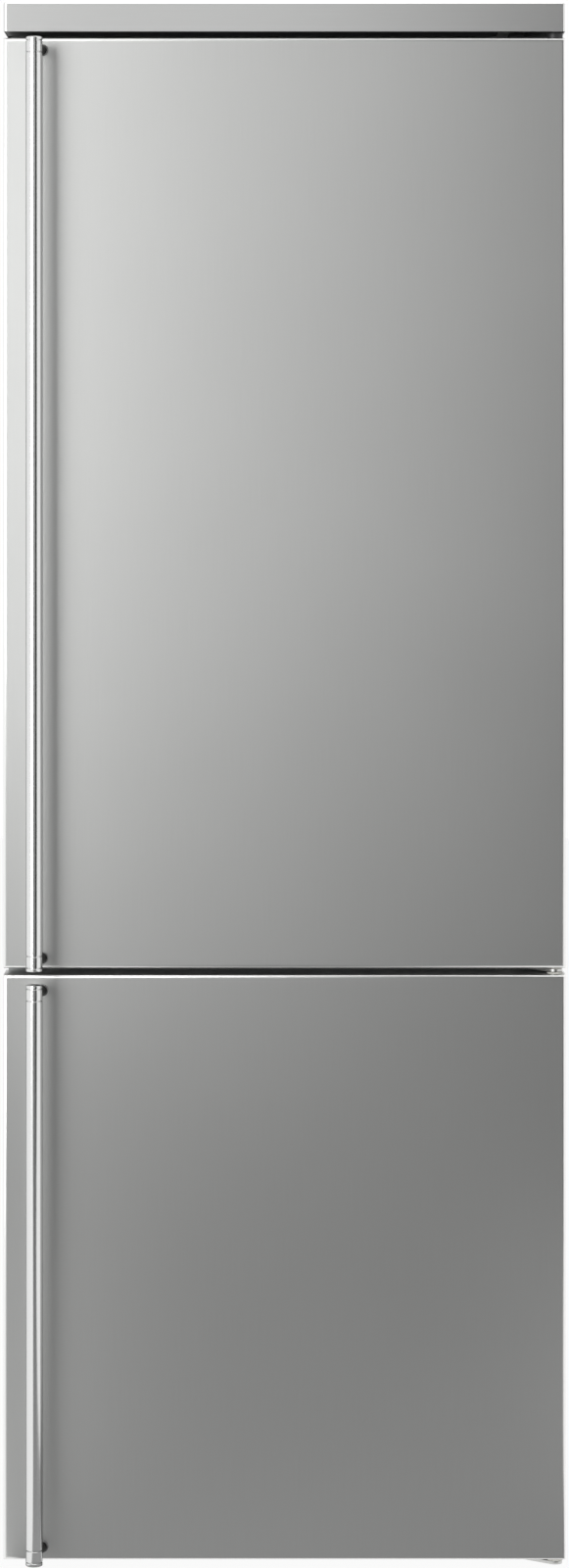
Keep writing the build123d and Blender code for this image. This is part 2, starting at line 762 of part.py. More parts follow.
def middle_hinge():
    """Tee bracket on the rail between the doors, with one pin up and one pin down."""
    foot_left = middle_screw_places()[-1] - 1.4 * screw_head
    foot = block((foot_left, half_cabinet - sheet), (cabinet_front_y - middle_foot_sheet, cabinet_front_y),
                 middle_foot_z())
    arm = hinge_arm(middle_plate_z0, hinge_plate, cabinet_front_y - hinge_plate)
    bracket = foot + arm
    z = middle_foot_z()[0] + leg_height / 5
    for x in middle_screw_places():
        bracket -= rod((x, cabinet_front_y - 2 * hinge_plate, z), (0, 1, 0), screw_shank,
                       3 * hinge_plate, screw_sides)
    return bracket + hinge_pin(lower_door_z1 - pin_engagement, upper_door_z0 + pin_engagement)


def bottom_screw_places():
    """Screws of the bottom hinge, up into the base pan."""
    right = hinge_x - screw_head
    y = cabinet_front_y + 1.6 * screw_head
    return [(right, y), (right - 2.6 * screw_head, y), (right - 1.3 * screw_head, y + 2 * screw_head)]


def bottom_hinge():
    """Joggled bracket under the base pan, with its pin standing up into the lower door."""
    right = hinge_x + hinge_nose_radius - 2 * sheet
    x = (right - hinge_arm_width, right)
    joggle_y = door_back_y + seal_gap / 2
    path = [(cabinet_front_y + 5 * screw_head, cabinet_base_z), (joggle_y + 2, cabinet_base_z),
            (joggle_y - 2, bottom_plate_z1), (joggle_y - 3 * hinge_plate, bottom_plate_z1)]
    bracket = bent_sheet(path, hinge_plate, x)
    bracket += hinge_arm(bottom_plate_z0, hinge_plate, joggle_y - 2 * hinge_plate)
    for place_x, place_y in bottom_screw_places():
        bracket -= rod((place_x, place_y, 0), (0, 0, 1), screw_shank, 2 * cabinet_base_z, screw_sides)
    return bracket + hinge_pin(bottom_plate_z0, lower_door_z0 + pin_engagement)


def screws():
    """Hexagon-head screws of the three hinges; each shank fills its plate's hole."""
    group = []
    for x, y in top_screw_places():
        head = hexagon(x, y, cabinet_top_z + top_hinge_plate, screw_head, screw_head_height)
        group.append(head + rod((x, y, cabinet_top_z), (0, 0, 1), screw_shank, top_hinge_plate, screw_sides))
    foot_front = cabinet_front_y - middle_foot_sheet
    for x in middle_screw_places():
        z = middle_foot_z()[0] + leg_height / 5
        plane = Plane(origin=(x, foot_front, z), x_dir=(1, 0, 0), z_dir=(0, -1, 0))
        head = extrude(plane * RegularPolygon(screw_head * 0.45, 6, major_radius=False), 2.0)
        group.append(head + rod((x, foot_front, z), (0, 1, 0), screw_shank, middle_foot_sheet, screw_sides))
    for x, y in bottom_screw_places():
        z = cabinet_base_z - hinge_plate
        head = hexagon(x, y, z - screw_head_height, screw_head, screw_head_height)
        group.append(head + rod((x, y, z), (0, 0, 1), screw_shank, hinge_plate, screw_sides))
    return Compound(children=group)


# ---- doors ---------------------------------------------------------------------------
def door_skin(door):
    """Brushed sheet wrapped round the front and four edges, turned in behind."""
    x, z = (-half_door, half_door), (door.z0, door.z1)
    outer = block(x, (door_front_y, door_back_y), z)
    outer = fillet(outer.faces().sort_by(Axis.Y)[0].edges(), door_fold_radius)
    inside = block((x[0] + sheet, x[1] - sheet), (door_front_y + sheet, liner_y),
                   (z[0] + sheet, z[1] - sheet))
    inside = chamfer(inside.faces().sort_by(Axis.Y)[0].edges(), door_fold_radius - sheet)
    frame = sheet + skin_flange
    window = block((x[0] + frame, x[1] - frame), (liner_y - sheet, door_back_y + sheet),
                   (z[0] + frame, z[1] - frame))
    skin = outer - inside - window
    return skin - bush_bore(door)


def bush_bore(door):
    """Holes for the bushes through the door's bottom and top edges."""
    depth = pin_engagement + bush_clearance + 1
    low = rod((hinge_x, hinge_y, door.z0 - 1), (0, 0, 1), bush_diameter, depth + 1, small_sides)
    high = rod((hinge_x, hinge_y, door.z1 + 1), (0, 0, -1), bush_diameter, depth + 1, small_sides)
    return low + high


def seal_groove(door, grow):
    """Channel round the back of a door that takes the gasket's dart."""
    middle = gasket_inset + gasket_width / 2
    low, high = middle - groove_width / 2 - grow, middle + groove_width / 2 + grow
    y = (liner_y - groove_depth - grow, liner_y + grow)
    ring = block((-half_door + low, half_door - low), y, (door.z0 + low, door.z1 - low))
    return ring - block((-half_door + high, half_door - high), (y[0] - 1, y[1] + 1),
                        (door.z0 + high, door.z1 - high))


def door_form(door, wall):
    """The door's filling, from the skin to the liner's outer face less a wall."""
    inner_half = half_door - sheet
    slab = block((-inner_half, inner_half), (door_front_y + sheet, liner_y - wall),
                 (door.z0 + sheet, door.z1 - sheet))
    slab = chamfer(slab.faces().sort_by(Axis.Y)[0].edges(), door_fold_radius - sheet)
    plug = rounded_block(door.plug_half - wall, (liner_y - wall - 1, door.plug_y - wall),
                         (door.plug_z0 + wall, door.plug_z1 - wall), plug_radius - wall)
    recess = rounded_block(door.plug_half - dyke_width + wall,
                           (liner_y + recess_rise - wall, door.plug_y + wall),
                           (door.plug_z0 + dyke_width - wall, door.plug_z1 - dyke_width + wall),
                           plug_radius - wall)
    return slab + plug - recess - seal_groove(door, wall)


def bin_levels():
    """Height of each upper-door bin's lugs."""
    return [bottle_bin_z + bottle_bin_height / 2, middle_bin_z + middle_bin_height / 2,
            top_bin_z + top_bin_height / 2, dairy_z + dairy_height / 2]


def dyke_inner(door):
    """Half the width between the side rims of a door's liner."""
    return door.plug_half - dyke_width


def lug_y():
    """Depth limits of the bins' lugs on the upper door's rim."""
    return (upper_door.plug_y - lug_depth - drawer_gap, upper_door.plug_y - drawer_gap)


def door_liner(door, has_bins):
    """Vacuum-formed back of a door with its raised rim and, above, ledges for the bins."""
    liner = door_form(door, 0) - door_form(door, liner_wall)
    if has_bins:
        inner = dyke_inner(door)
        for z in bin_levels():
            for x in both_sides(inner - bin_side_gap + running_gap, inner):
                liner += block(x, lug_y(), (z - lug_height, z))
    return liner


def gasket(door):
    """Magnetic seal: barbed dart in the groove, hollow bellows and magnet pocket."""
    middle = gasket_inset + gasket_width / 2
    half = gasket_width / 2
    reach = cabinet_front_y - liner_y
    dart, barb = groove_depth - dart_clearance, groove_width / 2 - barb_clearance
    waist, pocket = half - seal_wall, reach - magnet_pocket
    right = [(half, 0), (half, seal_wall), (waist, seal_wall + seal_taper), (waist, pocket - seal_taper),
             (half, pocket), (half, reach)]
    dart_side = [(dart_tip, -dart), (barb, -dart / 2), (dart_neck, -dart / 2), (dart_neck, 0)]
    outline = dart_side + right
    outline += [(-u, d) for u, d in reversed(right)] + [(-u, d) for u, d in reversed(dart_side)]
    inner, low, high = waist - seal_wall, 2 * seal_wall, pocket - seal_wall
    hollow = [(inner, low), (inner, high), (-inner, high), (-inner, low)]
    return mitred_frame(door, middle, outline) - mitred_frame(door, middle, hollow)


def mitred_frame(door, inset, outline):
    """An outline of (inwards, backwards) points carried round the door, mitred at the corners."""
    half, z0, z1 = half_door - inset, door.z0 + inset, door.z1 - inset
    corners = [(0, liner_y, z0), (half, liner_y, z0), (half, liner_y, z1), (-half, liner_y, z1),
               (-half, liner_y, z0)]
    path = Wire.make_polygon([Vector(*c) for c in corners], close=True)
    section = Plane(origin=corners[0], x_dir=(0, 0, 1), z_dir=(1, 0, 0))
    face = make_face(Polyline(*[(u, -d) for u, d in outline], close=True))
    return sweep(section * face, path=path, transition=Transition.RIGHT)


def door_bushes(door):
    """Flanged nylon bushes pressed into the door's ends."""
    pair = []
    for edge_z, plate_z, inward in ((door.z0, door.bottom_rest, 1), (door.z1, door.top_rest, -1)):
        flange_height = abs(edge_z - plate_z) - bush_clearance
        start = edge_z - inward * flange_height
        bush = rod((hinge_x, hinge_y, start), (0, 0, inward), bush_flange_diameter, flange_height,
                   small_sides)
        bush += rod((hinge_x, hinge_y, edge_z), (0, 0, inward), bush_diameter,
                    pin_engagement + bush_clearance + 1, small_sides)
        bore = (pin_diameter + 2 * pin_clearance) / cos(pi / bore_sides)
        bush -= rod((hinge_x, hinge_y, start - inward), (0, 0, inward), bore,
                    flange_height + pin_engagement + bush_clearance + 1, bore_sides)
        pair.append(bush)
    return Compound(children=pair)


def door_foam(door):
    """Foamed core of a door."""
    return door_form(door, liner_wall) - bush_bore(door)


# ---- handles -------------------------------------------------------------------------
def handle_end(z, inward):
    """End cap, collar and leaning post of a handle; inward is +1 at the bottom end."""
    radius = handle_diameter / 2
    neck = radius - ring_depth
    cap = end_cap_height
    top = cap + collar_height
    profile = [(radius - end_crown, 0), (radius, end_crown), (radius, cap - ring_gap),
               (neck, cap - ring_gap), (neck, cap), (radius, cap), (radius, top - ring_gap),
               (neck, top - ring_gap), (neck, top)]
    end = turned(profile, handle_sides)
    if inward < 0:
        end = mirror(end, Plane.XY)
    handle_x = -half_door + handle_side_inset
    end = Pos(handle_x, handle_y, z) * end
    post_z = z + inward * (cap + (collar_height - ring_gap) / 2)
    foot_centre_x = handle_x + handle_lean
    start = Vector(handle_x, handle_y, post_z)
    finish = Vector(foot_centre_x, door_front_y - post_foot_height, post_z)
    post = rod(start, finish - start, post_diameter, (finish - start).length + 1, small_sides)
    post -= block((foot_centre_x - handle_diameter, foot_centre_x + handle_diameter),
                  (door_front_y - post_foot_height / 2, door_front_y + handle_diameter),
                  (post_z - handle_diameter, post_z + handle_diameter))
    foot = rod((foot_centre_x, door_front_y, post_z), (0, -1, 0), post_foot_diameter, post_foot_height,
               small_sides)
    return end + post + foot


def handle_ends(door):
    """Both ends of one handle."""
    return Compound(children=[handle_end(door.handle_z0, 1), handle_end(door.handle_z1, -1)])


def handle_tube(door):
    """Bar between the two collars."""
    skip = end_cap_height + collar_height
    handle_x = -half_door + handle_side_inset
    start = (handle_x, handle_y, door.handle_z0 + skip)
    length = door.handle_z1 - door.handle_z0 - 2 * skip
    return rod(start, (0, 0, 1), handle_diameter, length)


# ---- door bins -----------------------------------------------------------------------
def door_bin(z, height, has_rail=True):
    """Clear moulded bin with side lugs that sit on the liner's ledges."""
    inner = dyke_inner(upper_door)
    half = inner - bin_side_gap
    back = liner_y + recess_rise + bin_back_gap
    front = upper_door.plug_y + bin_reach
    bin_shell = tub(2 * half, front - back, height, bin_wall, bin_draft, bin_corner)
    bin_shell = Pos(0, (front + back) / 2, z) * bin_shell
    lug_z = z + height / 2
    drafted = half - height * tan(radians(bin_draft))
    for x in both_sides(drafted - bin_wall, inner - running_gap):
        bin_shell += block(x, lug_y(), (lug_z, lug_z + lug_height)) - bin_void(z, height)
    if has_rail:
        rim = block((-half + bin_corner, half - bin_corner), (front - bin_wall, front + bin_wall / 2),
                    (z + height - 2 * bin_wall, z + height))
        bin_shell += rim
    return bin_shell


def bin_void(z, height):
    """The space inside a bin, so that a lug never reaches into it."""
    half = dyke_inner(upper_door) - bin_side_gap
    back = liner_y + recess_rise + bin_back_gap
    front = upper_door.plug_y + bin_reach
    space = tub_space(2 * half, front - back, height, bin_wall, bin_draft, bin_corner)
    return Pos(0, (front + back) / 2, z) * space


def lid_axis():
    """Pivot line of the dairy lid: (y, z)."""
    back = liner_y + recess_rise + bin_back_gap
    return (back + lid_pin_diameter, dairy_z + dairy_height + lid_pin_diameter)


def lid_half():
    """Half the outer width of the dairy lid."""
    return dyke_inner(upper_door) - bin_side_gap - lid_pin_length


def dairy_box():
    """Deep bin with two ears that carry the lid's pins."""
    box = door_bin(dairy_z, dairy_height, has_rail=False)
    half = dyke_inner(upper_door) - bin_side_gap
    axis_y, axis_z = lid_axis()
    ear = lid_pin_diameter
    for x in both_sides(lid_half() + running_gap, half):
        box += block(x, (axis_y - ear, axis_y + ear), (dairy_z + dairy_height - ear, axis_z + ear))
    bore = (lid_pin_diameter + 2 * pin_clearance) / cos(pi / small_sides)
    return box - rod((-half - 1, axis_y, axis_z), (1, 0, 0), bore, 2 * half + 2, small_sides)


def dairy_lid():
    """Lid that folds up and back: a flat top, a front skirt and a pin at each end."""
    axis_y, axis_z = lid_axis()
    half = lid_half()
    top = axis_z + lid_wall / 2
    front = upper_door.plug_y + bin_reach + 2 * bin_wall
    path = [(axis_y - lid_pin_diameter / 2, top), (front, top), (front, top - lid_skirt)]
    lid = bent_sheet(path, lid_wall, (-half, half), Side.RIGHT)
    lid += rod((-half - lid_pin_length, axis_y, axis_z), (1, 0, 0), lid_pin_diameter,
               2 * half + 2 * lid_pin_length, large_sides)
    return lid


# ---- fridge compartment --------------------------------------------------------------
def shelf_levels():
    return (cover_shelf_z, fresh_shelf_z, middle_shelf_z, top_shelf_z)


def glass_shelves():
    """Toughened glass plates, one on each pair of ledges."""
    half = fridge_half - running_gap
    plates = []
    for z in shelf_levels():
        plates.append(block((-half, half), (shelf_front_y, shelf_back_y), (z, z + glass_thickness)))
    return Compound(children=plates)


def shelf_trims():
    """Front trims clipped over the glass, and rear stops; the lowest trim has the slider's slot."""
    half = fridge_half - running_gap
    trims = []
    for z in shelf_levels():
        glass_mid = z + glass_thickness / 2
        low, high = glass_mid - trim_height / 2, glass_mid + trim_height / 2
        clip_y = trim_front_y + trim_depth
        points = [(trim_front_y, low + trim_ease), (trim_front_y + trim_ease / 2, low), (clip_y, low),
                  (clip_y, z), (shelf_front_y, z), (shelf_front_y, z + glass_thickness),
                  (clip_y, z + glass_thickness), (clip_y, high - trim_ease),
                  (trim_front_y + trim_ease, high), (trim_front_y, high - trim_ease)]
        trim = side_profile(points, (-half, half))
        if z == cover_shelf_z:
            slot = slider_width / 2 + slider_travel + running_gap
            trim -= block((-slot, slot), (trim_front_y - 1, trim_front_y + trim_ease),
                          (z - trim_ease, z + trim_ease))
        trims.append(trim)
        stop = block((-half, half), (shelf_back_y - 2 * trim_wall, shelf_back_y),
                     (z + glass_thickness, z + glass_thickness + trim_height))
        trims.append(stop)
    return Compound(children=trims)


def humidity_slider():
    """Thumb slide in the lowest trim's slot that sets the crisper's air vent."""
    half, z = slider_width / 2, cover_shelf_z
    near = trim_front_y - running_gap
    face_y = trim_front_y - slider_face
    tongue = block((-half, half), (near, trim_front_y + slider_tongue),
                   (z - slider_tongue, z + slider_tongue))
    face = block((-half, half), (face_y, near), (z - slider_face_low, z + slider_face_high))
    face = chamfer(face.faces().sort_by(Axis.Y)[0].edges(), 1.0)
    grip = face + tongue
    for i in range(slider_ridges):
        x = (i - (slider_ridges - 1) / 2) * ridge_pitch
        grip += block((x - ridge_width / 2, x + ridge_width / 2), (face_y - ridge_height, face_y),
                      (z - slider_face_low / 2, z + slider_face_high / 2))
    return grip


def bottle_rack():
    """Chromed wire rack: wavy cross wires front and back, and straight wires that cradle bottles."""
    radius = rack_rod / 2
    z = rack_z + radius
    front, back = shelf_front_y, shelf_back_y - trim_depth
    section = RegularPolygon(radius, rack_sides)
    span = fridge_half - rail_reach / 2
    cradle = fridge_half - rail_reach - rack_rod
    width = 2 * cradle / rack_places
    wires = []
    for y in (front + radius, back - radius):
        points = [(-span, y, z)]
        for k in range(rack_places):
            left = -cradle + width * k
            points += [(left, y, z), (left + width * 0.3, y, z - rack_sag),
                       (left + width * 0.7, y, z - rack_sag)]
        points += [(cradle, y, z), (span, y, z)]
        start = Plane(origin=points[0], z_dir=(1, 0, 0)) * section
        wires.append(sweep(start, path=Polyline(*points), transition=Transition.RIGHT))
    along = [(-span, z), (span, z)]
    for k in range(rack_places):
        left = -cradle + width * k
        along += [(left + width * 0.3, z - rack_sag), (left + width * 0.7, z - rack_sag)]
    for x, wire_z in along:
        plane = Plane(origin=(x, front, wire_z), x_dir=(1, 0, 0), z_dir=(0, 1, 0))
        wires.append(extrude(plane * section, back - front))
    rack = wires[0]
    for wire in wires[1:]:
        rack += wire
    return rack


def drawer_body(width, depth, height, front_y, z, rim_half=None):
    """Clear drawer: drafted tub, upright front with a finger pull and, if hung, side rims."""
    joint = drawer_wall / 2
    middle = front_y + drawer_front_wall + (depth - joint) / 2
    body = Pos(0, middle, z) * tub(width, depth + joint, height, drawer_wall, drawer_draft, drawer_corner)
    half = width / 2
    front = block((-half, half), (front_y, front_y + drawer_front_wall), (z, z + height))
    front = chamfer(front.faces().sort_by(Axis.Y)[0].edges(), drawer_front_ease)
    taper = height * tan(radians(drawer_draft))
    bridge = block((-half + drawer_corner, half - drawer_corner),
                   (front_y + drawer_front_wall - 1, front_y + drawer_front_wall + taper + drawer_wall),
                   (z, z + drawer_wall))
    pull_top = z + height - pull_drop
    points = [(front_y + 1, pull_top - pull_lip - pull_reach), (front_y - pull_reach, pull_top - pull_lip),
              (front_y - pull_reach, pull_top), (front_y + 1, pull_top)]
    pull = side_profile(points, (-width / 6, width / 6))
    body += front
    body += bridge
    body += pull
    if rim_half:
        for x in both_sides(half - drawer_wall, rim_half):
            body += block(x, (front_y + drawer_front_wall + drawer_corner, front_y + depth - drawer_corner),
                          (z + height - rim_thickness, z + height))
    return body


def vegetable_drawer():
    """Deep crisper drawer that slides on the liner's floor runners."""
    z = fridge_z0 + runner_height + running_gap
    height = cover_shelf_z - vegetable_front_clearance - z
    half = fridge_half - rail_reach - drawer_gap
    return drawer_body(2 * half, vegetable_depth, height, drawer_front_y, z)


def fresh_drawer():
    """Shallow chiller drawer hung by its rims on a pair of ledges."""
    top = fresh_rail_z + running_gap + rim_thickness
    z = cover_shelf_z + (glass_thickness + trim_height) / 2 + drawer_gap / 2
    half = fridge_half - rail_reach - drawer_gap
    return drawer_body(2 * half, fresh_depth, top - z, drawer_front_y, z, fridge_half - 1.5)


def air_duct_panel():
    """Air duct down the middle of the back wall with a ladder of outlets."""
    y = (fridge_back_y - duct_depth, fridge_back_y)
    z = (cover_shelf_z + 2 * trim_height, fridge_z1 - liner_radius)
    outer = block((-duct_half_width, duct_half_width), y, z)
    outer = chamfer(outer.edges().filter_by(Axis.Z).group_by(Axis.Y)[0], duct_depth / 2)
    wall = drawer_wall
    hollow = block((-duct_half_width + 2 * wall, duct_half_width - 2 * wall),
                   (y[0] + 2 * wall, y[1] + 1), (z[0] + wall, z[1] - wall))
    panel = outer - hollow
    pitch = (z[1] - z[0]) / duct_slots
    for i in range(duct_slots):
        middle = z[0] + pitch * (i + 0.5)
        for x in both_sides(duct_half_width * duct_slot_inner, duct_half_width * duct_slot_outer):
            panel -= block(x, (y[0] - 1, y[0] + 3 * wall),
                           (middle - duct_slot_height / 2, middle + duct_slot_height / 2))
    return panel


def lamp_lens():
    """Diffuser over the ceiling lamp."""
    y = shelf_front_y + lamp_depth / 2
    lens = block((-lamp_length / 2, lamp_length / 2), (y - lamp_depth / 2, y + lamp_depth / 2),
                 (fridge_z1 - lamp_height, fridge_z1))
    lens = chamfer(lens.faces().sort_by(Axis.Z)[0].edges(), lamp_height / 2)
    inner_length, inner_depth = lamp_length / 2 - lamp_border, lamp_depth / 2 - lamp_border
    hollow = block((-inner_length, inner_length), (y - inner_depth, y + inner_depth),
                   (fridge_z1 - lamp_height + lamp_wall, fridge_z1 + 1))
    return lens - hollow


def control_panel():
    """Touch control housing behind the lamp, with a sunk display window."""
    front = shelf_front_y + lamp_depth + control_gap
    back, low = front + control_depth, fridge_z1 - control_height
    slope = control_height / 2
    housing = side_profile([(front, fridge_z1), (front, low + slope), (front + slope, low), (back, low),
                            (back, fridge_z1)], (-control_width / 2, control_width / 2))
    window = block((-display_width / 2, display_width / 2), (front + 2 * slope, back - display_border),
                   (low - 1, low + 1))
    return housing - window


# ---- freezer -------------------------------------------------------------------------
def freezer_drawer(z, height, depth):
    """Clear freezer drawer hung by its rims on the liner's ledges."""
    half = freezer_half - freezer_drawer_side_gap
    return drawer_body(2 * half, depth, height, freezer_front_y, z, freezer_half - 1.5)


def fan_rotor(origin, axis):
    """Axial fan: a hub bored for its shaft and cambered, pitched blades."""
    rotor = rod((0, 0, -fan_hub_length / 2), (0, 0, 1), fan_hub_diameter, fan_hub_length, large_sides)
    root, tip = fan_hub_diameter / 2 - blade_sink, fan_diameter / 2
    half = blade_chord / 2
    line = [(-half, 0), (-half / 3, blade_camber), (half / 3, blade_camber), (half, 0)]
    section = make_face(offset(Polyline(*line), amount=blade_thickness, kind=Kind.INTERSECTION,
                               side=Side.LEFT))
    plane = Plane(origin=(root, 0, 0), x_dir=(0, cos(radians(blade_pitch)), sin(radians(blade_pitch))),
                  z_dir=(1, 0, 0))
    blade = extrude(plane * section, tip - root)
    for i in range(fan_blades):
        rotor += Rot(0, 0, i * 360 / fan_blades) * blade
    bore = (shaft_diameter + 2 * shaft_clearance) / cos(pi / small_sides)
    rotor -= rod((0, 0, -fan_hub_length), (0, 0, 1), bore, 2 * fan_hub_length, small_sides)
    return Plane(origin=origin, z_dir=axis) * rotor


def fan_stator(opening, shaft_length):
    """Motor can on three struts across a round opening, with its shaft, facing +Z."""
    stator = rod((0, 0, 0), (0, 0, -1), motor_diameter, motor_length, large_sides)
    reach = opening / 2 + 1
    for i in range(3):
        strut = Pos(reach / 2, 0, -motor_length + strut_width / 2) * Box(reach, strut_width, strut_width)
        stator += Rot(0, 0, 90 + i * 120) * strut
    return stator + rod((0, 0, 0), (0, 0, 1), shaft_diameter, shaft_length, large_sides)


cover_y = cooler_y
fan_plane_y = cover_y + motor_length + hub_gap + fan_hub_length / 2


def evaporator_cover():
    """Moulded wall in front of the cooling coil, with a fan ring and return slots."""
    half = freezer_half - cover_edge_gap
    plate = block((-half, half), (cover_y, cover_y + cover_wall),
                  (step_z + cover_edge_gap / 3, freezer_z1 - cover_edge_gap))
    plate = chamfer(plate.edges().filter_by(Axis.Y).group_by(Axis.Z)[-1], liner_radius * 0.6)
    centre = (0, cover_y, fan_height_z)
    opening = fan_diameter + 2 * fan_tip_gap
    ring_depth_here = motor_length + fan_hub_length
    plate += rod(centre, (0, 1, 0), opening + 3 * cover_wall, ring_depth_here, large_sides)
    plate -= rod((0, cover_y - 1, fan_height_z), (0, 1, 0), opening, ring_depth_here + 2, large_sides)
    stator = Plane(origin=(0, cover_y + motor_length, fan_height_z), x_dir=(1, 0, 0), z_dir=(0, 1, 0))
    plate += stator * fan_stator(opening, fan_hub_length + hub_gap)
    pitch = 2 * half / (cover_slots + 1)
    for i in range(cover_slots):
        x = -half + pitch * (i + 1)
        plate -= block((x - pitch * 0.3, x + pitch * 0.3), (cover_y - 1, cover_y + 2 * cover_wall),
                       (step_z + cover_slot_z, step_z + cover_slot_z + cover_slot_height))
    return plate


def evaporator():
    """Finned coil: a pack of upright fins with hairpin bends at both ends."""
    y0 = cooler_y + cover_wall + fin_front_gap
    back_y = y0 + fin_depth
    pack = block((-fin_width / 2, fin_width / 2), (y0, back_y), (cooler_z, cooler_z + fin_height))
    for i in range(int(fin_width // fin_pitch)):
        x = -fin_width / 2 + fin_pitch * (i + 0.5)
        pack -= block((x - fin_gap / 2, x + fin_gap / 2), (y0 - 1, back_y - spine_depth),
                      (cooler_z - 1, cooler_z + fin_height + 1))
    pitch = fin_height / tube_rows
    for i in range(tube_rows - 1):
        side = 1 if i % 2 == 0 else -1
        pack += hairpin(side, back_y - tube_setback, cooler_z + pitch * (i + 0.5), pitch)
    for x in both_sides(fin_width / 2 - hanger_inset - hanger_width, fin_width / 2 - hanger_inset):
        pack += block(x, (back_y - 1, fridge_back_y),
                      (cooler_z + hanger_width, cooler_z + fin_height - hanger_width))
    return pack


def hairpin(side, y, low, pitch):
    """A bend of the coil's tube past the end fin, from one row up to the next."""
    root = side * (fin_width / 2 - 2)
    tip = side * (fin_width / 2 + bend_reach)
    turn, high = tip - side * bend_ease, low + pitch
    points = [(root, y, low), (turn, y, low), (tip, y, low + bend_ease), (tip, y, high - bend_ease),
              (turn, y, high), (root, y, high)]
    section = Plane(origin=points[0], z_dir=(side, 0, 0)) * RegularPolygon(cooler_tube / 2, 6)
    return sweep(section, path=Polyline(*points), transition=Transition.RIGHT)


# ---- compressor bay ------------------------------------------------------------------
deck_top_z = cabinet_base_z + deck_sheet
bay_rotor_x = bay_fan_x - bay_fan_depth / 2 + motor_length + hub_gap + fan_hub_length / 2


def compressor_deck():
    """Steel deck across the bay with turned-up edges and the rollers' forks and axles."""
    half = half_cabinet - sheet
    back = cabinet_back_y - 2 * sheet
    path = [(bay_front_y, cabinet_base_z + deck_flange), (bay_front_y, cabinet_base_z),
            (back, cabinet_base_z), (back, cabinet_base_z + deck_flange)]
    deck = bent_sheet(path, deck_sheet, (-half, half))
    for side in (-1, 1):
        x = side * roller_x
        deck -= block((x - roller_slot, x + roller_slot),
                      (roller_y - roller_diameter * 0.7, roller_y + roller_diameter * 0.7),
                      (cabinet_base_z - 1, deck_top_z + 1))
        for wall in both_sides(roller_slot, roller_slot + fork_wall):
            deck += block((x + wall[0], x + wall[1]),
                          (roller_y - axle_diameter, roller_y + axle_diameter),
                          (roller_diameter / 2 - axle_diameter, cabinet_base_z + deck_sheet / 2))
        deck += rod((x - roller_slot - 1, roller_y, roller_diameter / 2), (1, 0, 0), axle_diameter,
                    2 * roller_slot + 2, small_sides)
    return deck


def compressor():
    """Hermetic can: drawn lower and upper shells, weld flange, foot plate, mounts and terminal box."""
    radius = compressor_diameter / 2
    base = deck_top_z + mount_height
    seam = base + compressor_height * compressor_seam
    top = base + compressor_height
    shoulder = can_ease * (1 - cos(radians(45)))
    profile = [(radius - can_ease, base), (radius, base + can_ease), (radius, seam),
               (radius + compressor_flange, seam), (radius + compressor_flange, seam + flange_sheet),
               (radius, seam + flange_sheet), (radius, top - can_ease), (radius - shoulder, top - shoulder),
               (radius - can_ease, top)]
    can = Pos(compressor_x, mid_bay_y, 0) * turned(profile, large_sides)
    spread = mount_spacing / 2
    reach = spread + foot_plate_margin
    can += block((compressor_x - reach, compressor_x + reach),
                 (mid_bay_y - spread / 2, mid_bay_y + spread / 2), (base - 1, base + foot_plate_sheet))
    for x in (-spread, spread):
        for y in (-spread / 3, spread / 3):
            can += rod((compressor_x + x, mid_bay_y + y, deck_top_z), (0, 0, 1), mount_height,
                       mount_height, small_sides)
    side_x = compressor_x - radius
    low = base + terminal_lift
    return can + block((side_x - terminal_reach, side_x + terminal_sink),
                       (mid_bay_y - terminal_width / 2, mid_bay_y + terminal_width / 2),
                       (low, low + terminal_height))


def serpentine(x, y, z, width, height, runs, diameter):
    """A tube laid to and fro, run above run, with eased turns."""
    pitch = height / (runs - 1)
    ease = pitch / 3
    points = [(x, y, z)]
    for i in range(runs):
        level = z + i * pitch
        near, far = (x, x + width) if i % 2 == 0 else (x + width, x)
        direction = 1 if far > near else -1
        if i:
            points.append((near + direction * ease, y, level))
        if i < runs - 1:
            points += [(far - direction * ease, y, level), (far, y, level + ease),
                       (far, y, level + pitch - ease)]
        else:
            points.append((far, y, level))
    section = Plane(origin=points[0], z_dir=(1, 0, 0)) * RegularPolygon(diameter / 2, 6)
    return sweep(section, path=Polyline(*points), transition=Transition.RIGHT)


def condenser_coil():
    """Two banks of serpentine tube held in a comb plate that stands on the deck."""
    x0 = -half_cabinet + coil_side_gap
    z0 = deck_top_z + coil_lift
    front_row = mid_bay_y - coil_row_gap / 2
    coil = None
    for row in range(condenser_rows):
        tubes = serpentine(x0, front_row + row * coil_row_gap, z0, condenser_width, condenser_height,
                           condenser_runs, condenser_tube)
        coil = tubes if coil is None else coil + tubes
    x = x0 + condenser_width / 2
    back_row = front_row + (condenser_rows - 1) * coil_row_gap
    comb = block((x - comb_sheet / 2, x + comb_sheet / 2), (front_row - comb_margin, back_row + comb_margin),
                 (deck_top_z, z0 + condenser_height + comb_margin))
    return coil + comb


def condenser_fan_frame():
    """Square frame of the bay fan with its motor, struts and shaft, blowing along X."""
    z = deck_top_z + bay_fan_frame / 2
    plane = Plane(origin=(bay_fan_x, mid_bay_y, z), x_dir=(0, 1, 0), z_dir=(1, 0, 0))
    opening = fan_diameter + 2 * fan_tip_gap
    frame = Box(bay_fan_frame, bay_fan_frame, bay_fan_depth)
    frame -= rod((0, 0, -bay_fan_depth), (0, 0, 1), opening, 2 * bay_fan_depth, large_sides)
    stator = Pos(0, 0, -bay_fan_depth / 2 + motor_length) * fan_stator(opening, fan_hub_length + hub_gap)
    return plane * (frame + stator)


def condenser_fan():
    """Rotor of the bay fan."""
    return fan_rotor((bay_rotor_x, mid_bay_y, deck_top_z + bay_fan_frame / 2), (1, 0, 0))


